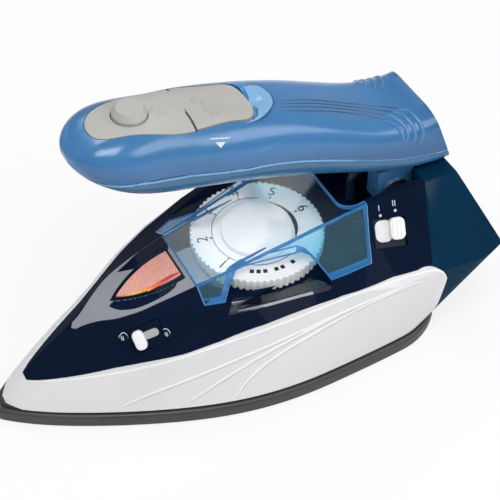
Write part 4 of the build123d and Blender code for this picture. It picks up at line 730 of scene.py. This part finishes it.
# Dial cover: clear, faintly blue bridge moulding with a finger arch on each side. Its cut
# edges gather the tint and show as saturated blue lines.
clear_blue = finish_of("clear_blue", (0.96, 0.99, 1.0), 0.04, deep=(0.945, 0.985, 1.0),
                       clear=0.985, rough_spread=0.01)
clear_nodes, clear_links = clear_blue.node_tree.nodes, clear_blue.node_tree.links
clear_ends = clear_nodes.new("ShaderNodeValToRGB")
front_end, rear_end = clear_ends.color_ramp.elements
front_end.position, front_end.color = 0.1, (0.62, 0.83, 0.96, 1.0)
rear_end.position, rear_end.color = 0.9, (0.40, 0.72, 0.92, 1.0)
for along in (0.26, 0.74):
    clear_ends.color_ramp.elements.new(along).color = white
clear_mix = clear_nodes.new("ShaderNodeMix")
clear_mix.data_type = "RGBA"
clear_mix.blend_type = "MULTIPLY"
clear_mix.inputs["Factor"].default_value = 1.0
clear_skin = clear_nodes["Principled BSDF"]
clear_tones = clear_skin.inputs["Base Color"].links[0].from_socket
clear_links.new(share_along(clear_blue, -0.02, 0.06), clear_ends.inputs["Fac"])
clear_links.new(clear_tones, clear_mix.inputs["A"])
clear_links.new(clear_ends.outputs["Color"], clear_mix.inputs["B"])
clear_links.new(clear_mix.outputs["Result"], clear_skin.inputs["Base Color"])
flank_blue = finish_of("flank_blue", (0.42, 0.78, 0.92), 0.05, deep=(0.38, 0.74, 0.90),
                       clear=0.95, rough_spread=0.01)
edge_blue = finish_of("edge_blue", (0.05, 0.31, 0.72), 0.15, deep=(0.04, 0.26, 0.63), clear=0.4)
thin_wall_ior = 1.2
for tint in (clear_blue, flank_blue):
    tint.node_tree.nodes["Principled BSDF"].inputs["IOR"].default_value = thin_wall_ior
cover = smooth_piece("dial_cover", "base", clear_blue)
cover.data.materials.append(flank_blue)
cover.data.materials.append(edge_blue)
roof_half = 0.0205
for face in cover.data.polygons:
    n = face.normal
    on_roof = abs(n.z) > 0.9 and abs(face.center.y) < roof_half
    if (abs(n.y) < 0.2 and not on_roof) or abs(n.z) < 0.2:
        face.material_index = 2
    elif not on_roof:
        face.material_index = 1
flat_below, corner_above = radians(4), radians(25)
edge_radius, edge_sides = 0.00032, 6
corner_lines = bmesh.new()
corner_lines.from_mesh(cover.data)
bmesh.ops.dissolve_limit(corner_lines, angle_limit=flat_below, verts=corner_lines.verts,
                         edges=corner_lines.edges)
soft_edges = [e for e in corner_lines.edges
              if len(e.link_faces) != 2 or e.calc_face_angle(0.0) < corner_above]
bmesh.ops.delete(corner_lines, geom=soft_edges, context="EDGES_FACES")
bmesh.ops.delete(corner_lines, geom=list(corner_lines.faces), context="FACES_ONLY")
left = dict.fromkeys(corner_lines.edges)
tube_verts, tube_faces = [], []
while left:
    first_edge, _ = left.popitem()
    chain = list(first_edge.verts)
    for grow_end in (True, False):
        while True:
            tip = chain[-1] if grow_end else chain[0]
            ways = [e for e in tip.link_edges if e in left]
            if len(tip.link_edges) != 2 or len(ways) != 1:
                break
            del left[ways[0]]
            chain.insert(len(chain) if grow_end else 0, ways[0].other_vert(tip))
    path = [v.co.copy() for v in chain]
    last = len(path) - 1
    base = len(tube_verts)
    side_way = None
    for i, place in enumerate(path):
        along = (path[min(i + 1, last)] - path[max(i - 1, 0)]).normalized()
        if side_way is None:
            side_way = along.orthogonal()
        side_way = (side_way - along * side_way.dot(along)).normalized()
        other_way = along.cross(side_way)
        for k in range(edge_sides):
            turn = 2 * pi * k / edge_sides
            tube_verts.append(place + (side_way * cos(turn) + other_way * sin(turn)) * edge_radius)
    for i in range(last):
        for k in range(edge_sides):
            a, b = base + edge_sides * i + k, base + edge_sides * i + (k + 1) % edge_sides
            tube_faces.append((a, b, b + edge_sides, a + edge_sides))
    last_ring = base + edge_sides * last
    tube_faces.append(tuple(range(base + edge_sides - 1, base - 1, -1)))
    tube_faces.append(tuple(range(last_ring, last_ring + edge_sides)))
corner_lines.free()
tube_mesh = bpy.data.meshes.new("cover_edges")
tube_mesh.from_pydata(tube_verts, [], tube_faces)
add_piece("cover_edges", tube_mesh, edge_blue, "base")
cover_ridge = spots_on(["dial_cover"], (
    (201, 284), (240, 265), (280, 246), (320, 226), (364, 206),
), 10)
bead("cover_ridge", cover_ridge, 0.0005, 0.00075, edge_blue, "base", sink=0.9,
     both_sides=True)

# Handle: tinted water tank on a darker lower moulding that carries the hinge ears. The tank's
# blue is made darker towards the rear and the low edge, and a pale bead along the joint of the two
# is a painted highlight.
tank_blue = finish_of("tank_blue", (0.095, 0.38, 0.76), 0.2, deep=(0.085, 0.35, 0.72), clear=0.6,
                      coat=0.4, scale=30.0, shine=0.35)
tank_nodes, tank_links = tank_blue.node_tree.nodes, tank_blue.node_tree.links
tank_where = tank_nodes.new("ShaderNodeTexCoord")
tank_above = tank_nodes.new("ShaderNodeVectorMath")
tank_above.operation = "DOT_PRODUCT"
tank_above.inputs[1].default_value = (0.29, 0.0, 1.0)
tank_low = tank_nodes.new("ShaderNodeMapRange")
tank_low.interpolation_type = "SMOOTHSTEP"
tank_low.inputs["From Min"].default_value = 0.112
tank_low.inputs["From Max"].default_value = 0.098
tank_deep = tank_nodes.new("ShaderNodeMath")
tank_deep.operation = "MAXIMUM"
tank_mix = tank_nodes.new("ShaderNodeMix")
tank_mix.data_type = "RGBA"
tank_mix.inputs["B"].default_value = (0.03, 0.20, 0.50, 1.0)
tank_skin = tank_nodes["Principled BSDF"]
tank_skin.inputs["Coat Roughness"].default_value = 0.2
tank_tones = tank_skin.inputs["Base Color"].links[0].from_socket
tank_links.new(tank_where.outputs["Object"], tank_above.inputs[0])
tank_links.new(tank_above.outputs["Value"], tank_low.inputs["Value"])
tank_links.new(share_along(tank_blue, 0.070, 0.104, "SMOOTHSTEP"), tank_deep.inputs[0])
tank_links.new(tank_low.outputs["Result"], tank_deep.inputs[1])
tank_links.new(tank_deep.outputs[0], tank_mix.inputs["Factor"])
tank_links.new(tank_tones, tank_mix.inputs["A"])
tank_links.new(tank_mix.outputs["Result"], tank_skin.inputs["Base Color"])
smooth_piece("handle_tank", "handle", tank_blue)
base_blue = finish_of("base_blue", (0.04, 0.15, 0.31), 0.26, deep=(0.035, 0.135, 0.28), coat=0.3,
                      scale=30.0, shine=0.35)
smooth_piece("handle_base", "handle", base_blue)
# Painted highlight: a pale blue bead along the joint of tank and base.
seam_painted_highlight = finish_of("seam_painted_highlight", (0.15, 0.36, 0.62), 0.25, coat=0.3, scale=30.0)
seam = spots_on(["handle_tank", "handle_base", "tank_seal"], (
    (62, 164), (72, 172), (89, 180), (105, 184.8), (121, 186), (150, 183.3), (191, 176.2),
    (215, 173), (243.7, 170.4), (272, 165), (298.7, 161.3), (338, 160), (390, 160), (420, 156.5),
    (442, 152.2),
), 8)
bead("seam_highlight_line", seam, 0.00045, 0.00045, seam_painted_highlight, "handle", sink=0.35,
     both_sides=True)

# Grip ribs and thumb scoop: four fine lines moulded in the tank's plastic run back from the
# scoop as dark beads, a painted groove shade, and turn down at the rear as raised ribs. The scoop
# is a pale dish for the thumb, edged with the same painted shade.
ridge_blue = finish_of("ridge_blue", (0.055, 0.20, 0.44), 0.2, deep=(0.048, 0.18, 0.41), coat=0.4,
                       scale=30.0)
groove_painted_shade = finish_of("groove_painted_shade", (0.014, 0.075, 0.22), 0.22, deep=(0.012, 0.066, 0.2), coat=0.3,
                     scale=30.0)
rib_start, rib_end, rib_overlap = 0.0004, 0.0014, 4
for number, rib in enumerate((
    ((281, 100.4), (311.6, 99.9), (346, 103), (372, 106.1), (389, 107.3), (402, 109),
     (409.7, 111.6), (418.3, 120.2), (422.6, 132.3), (420, 144.3)),
    ((281, 103.9), (311.6, 103), (346, 106.1), (372, 109.2), (390, 111.8), (401, 113.4),
     (411.4, 123.7), (414.9, 134), (413.2, 142.6)),
    ((281, 106.8), (311.6, 106.5), (346, 109), (371.9, 113.4), (384, 114.8), (392.5, 116),
     (402.8, 123.7), (407.1, 132.3), (406.3, 142.6)),
    ((281, 110.8), (311.6, 110.8), (337.4, 111.6), (363.2, 115.1), (380.5, 119.4), (390, 122.3),
     (396, 125.4), (402, 134), (403.7, 140.9)),
), 1):
    near = spots_on(["handle_tank"], rib)
    turn_down = len(near) // 2
    # The front part of each line is a dark bead, a painted groove shade.
    bead("grip_groove_%d" % number, near[:turn_down + rib_overlap], 0.00038, 0.0005, groove_painted_shade,
         "handle", sink=0.5)
    rear = near[turn_down:]
    bead("grip_rib_%d" % number, rear, rib_start, rib_end, ridge_blue, "handle",
         sink=0.35)
    far = [(Vector((p.x, -p.y, p.z)), Vector((n.x, -n.y, n.z))) for p, n in rear]
    bead("grip_rib_far_%d" % number, far, rib_start, rib_end, ridge_blue, "handle",
         sink=0.35)
scoop_pale = finish_of("scoop_pale", (0.20, 0.40, 0.64), 0.3, deep=(0.18, 0.37, 0.61), coat=0.3,
                       scale=30.0)
scoop_lift = 0.00025
inlay("thumb_scoop", (
    (243, 87), (256, 86), (267.5, 92.5), (272.5, 101.5), (270.2, 109), (261, 118), (248, 123),
    (246, 117), (249, 106), (248, 96),
), ["handle_tank"], scoop_lift, scoop_pale, "handle", steps=3)
scoop_edge = spots_on(["handle_tank"], (
    (256, 85.5), (268, 92), (273.5, 101), (271, 109.5), (262, 119), (248, 124.5),
), 8)
bead("thumb_scoop_edge", scoop_edge, 0.0004, 0.0004, groove_painted_shade, "handle", sink=0.4)

# Pad, lid and button: warm grey satin mouldings let into the tank's roof. The lid lifts on a
# thin film hinge moulded between it and the pad, and plain signs are embossed on both.
pad_grey = finish_of("pad_grey", (0.43, 0.425, 0.405), 0.5, bump=0.2, shine=0.3)
smooth_piece("front_pad", "handle", pad_grey)
smooth_piece("filler_lid", "lid", pad_grey)
smooth_piece("steam_button", "button", pad_grey)
hinge_x, hinge_half = -0.0064, 0.0016
hinge_left, hinge_width = -0.0022, 0.011
hinge_rows, hinge_steps = 12, 8
film_above, film_below = Vector((0, 0, 0.00006)), Vector((0, 0, 0.0003))
above_handle, down = 0.2, Vector((0, 0, -1))
hinge_verts, hinge_faces = [], []
for i in range(hinge_rows + 1):
    y = hinge_left + hinge_width * i / hinge_rows
    pad_side, lid_side = (
        surface_of(node).ray_cast(Vector((x, y, above_handle)), down)[0]
        for node, x in (("front_pad", hinge_x - hinge_half), ("filler_lid", hinge_x + hinge_half))
    )
    for k in range(hinge_steps + 1):
        place = pad_side.lerp(lid_side, k / hinge_steps)
        hinge_verts += [place + film_above, place - film_below]
hinge_row = 2 * (hinge_steps + 1)
for i in range(hinge_rows):
    for k in range(hinge_steps):
        a = i * hinge_row + 2 * k
        b = a + hinge_row
        hinge_faces += [(a, a + 2, b + 2, b), (a + 1, b + 1, b + 3, a + 3)]
        if i == 0:
            hinge_faces.append((a, a + 1, a + 3, a + 2))
        if i == hinge_rows - 1:
            hinge_faces.append((b, b + 2, b + 3, b + 1))
    a = i * hinge_row
    b = a + hinge_row
    hinge_faces.append((a, b, b + 1, a + 1))
    a, b = a + 2 * hinge_steps, b + 2 * hinge_steps
    hinge_faces.append((a, a + 1, b + 1, b))
hinge_mesh = bpy.data.meshes.new("lid_film_hinge")
hinge_mesh.from_pydata(hinge_verts, [], hinge_faces)
film = add_piece("lid_film_hinge", hinge_mesh, pad_grey, None)
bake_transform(film)
sign_radius = 0.0005
for name, body, node, line in (
    ("pad_mark_cloud", "handle", "front_pad",
     ((151.5, 113), (151.5, 109), (154.5, 106.3), (158, 106), (160.5, 108.5))),
    ("pad_mark_puff_1", "handle", "front_pad", ((157, 112.5), (160, 111.5), (163.5, 109.5))),
    ("pad_mark_puff_2", "handle", "front_pad", ((160, 115.8), (163, 114.5), (167, 112.2))),
    ("lid_mark_cup", "lid", "filler_lid", ((194, 104), (192.5, 100), (195.5, 97.2), (199.5, 96.5))),
    ("lid_mark_stream", "lid", "filler_lid",
     ((200, 100), (203, 104.5), (206.5, 109.5), (210, 112))),
    ("lid_mark_drop", "lid", "filler_lid",
     ((213, 111.5), (211.8, 114.5), (214, 116.5), (217, 115.3), (217, 112.5), (214.5, 111),
      (213, 111.5))),
):
    bead(name, spots_on([node], line, 5), sign_radius, sign_radius, pad_grey, body,
         sink=0.25)

# Level mark: pale line and arrow printed on the near wall of the tank. They show how far the
# tank is filled.
level_white = finish_of("level_white", (0.66, 0.72, 0.80), 0.4)
level_radius, arrow_lift = 0.00025, 0.0001
level = spots_on(["handle_tank"], ((209.5, 139), (230.5, 137.8)), 8)
bead("level_line", level, level_radius, level_radius, level_white, "handle", sink=0.5)
inlay("level_arrow", ((215.5, 142.5), (225.5, 141.8), (220.8, 148)), ["handle_tank"], arrow_lift,
      level_white, "handle", steps=1)

# Inner pieces: rubber seals, steel pins and screws, the ceramic of the thermostat and the
# pump's plastic. They show only through gaps or in section; the pump's spring is squeezed
# between the cylinder and the push button.
seal_rubber = finish_of("seal_rubber", (0.02, 0.02, 0.022), 0.6, bump=0.3)
bright_steel = finish_of("bright_steel", (0.45, 0.45, 0.46), 0.3, metal=1.0, bump=0.1)
stained_steel = finish_of("stained_steel", (0.2, 0.17, 0.14), 0.45, deep=(0.12, 0.09, 0.07),
                          metal=1.0)
white_ceramic = finish_of("white_ceramic", (0.72, 0.69, 0.6), 0.55, bump=0.2)
inner_cream = finish_of("inner_cream", (0.5, 0.48, 0.43), 0.5, bump=0.1)
# Painted highlight: the tank seal's pale blue stands in for a highlight along the lip.
seal_painted_highlight = finish_of("seal_painted_highlight", (0.30, 0.46, 0.68), 0.3)
tube_dark = finish_of("tube_dark", (0.02, 0.05, 0.09), 0.35)
silicone = finish_of("silicone", (0.58, 0.55, 0.5), 0.45, bump=0.1)
spring = smooth_piece("pump_spring", "handle", bright_steel)
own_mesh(spring)
for node, mat in (
    ("sole_gasket", seal_rubber), ("cord_bushing", seal_rubber), ("tank_seal", seal_painted_highlight),
    ("lid_seal", seal_rubber), ("dial_shaft", bright_steel), ("hinge_pins", bright_steel),
    ("hinge_washers", bright_steel), ("sole_screws", bright_steel),
    ("steam_chamber_lid", bright_steel), ("heating_element", stained_steel),
    ("thermostat", white_ceramic), ("terminal_block", white_ceramic), ("thermal_fuse", silicone),
    ("water_tube", tube_dark), ("valve_arm", inner_cream), ("voltage_switch", navy),
    ("pump_piston", inner_cream), ("pump_cylinder", inner_cream), ("steam_valve", inner_cream),
    ("indicator_lamp", amber),
):
    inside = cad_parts[node].data
    inside.materials.clear()
    inside.materials.append(mat)
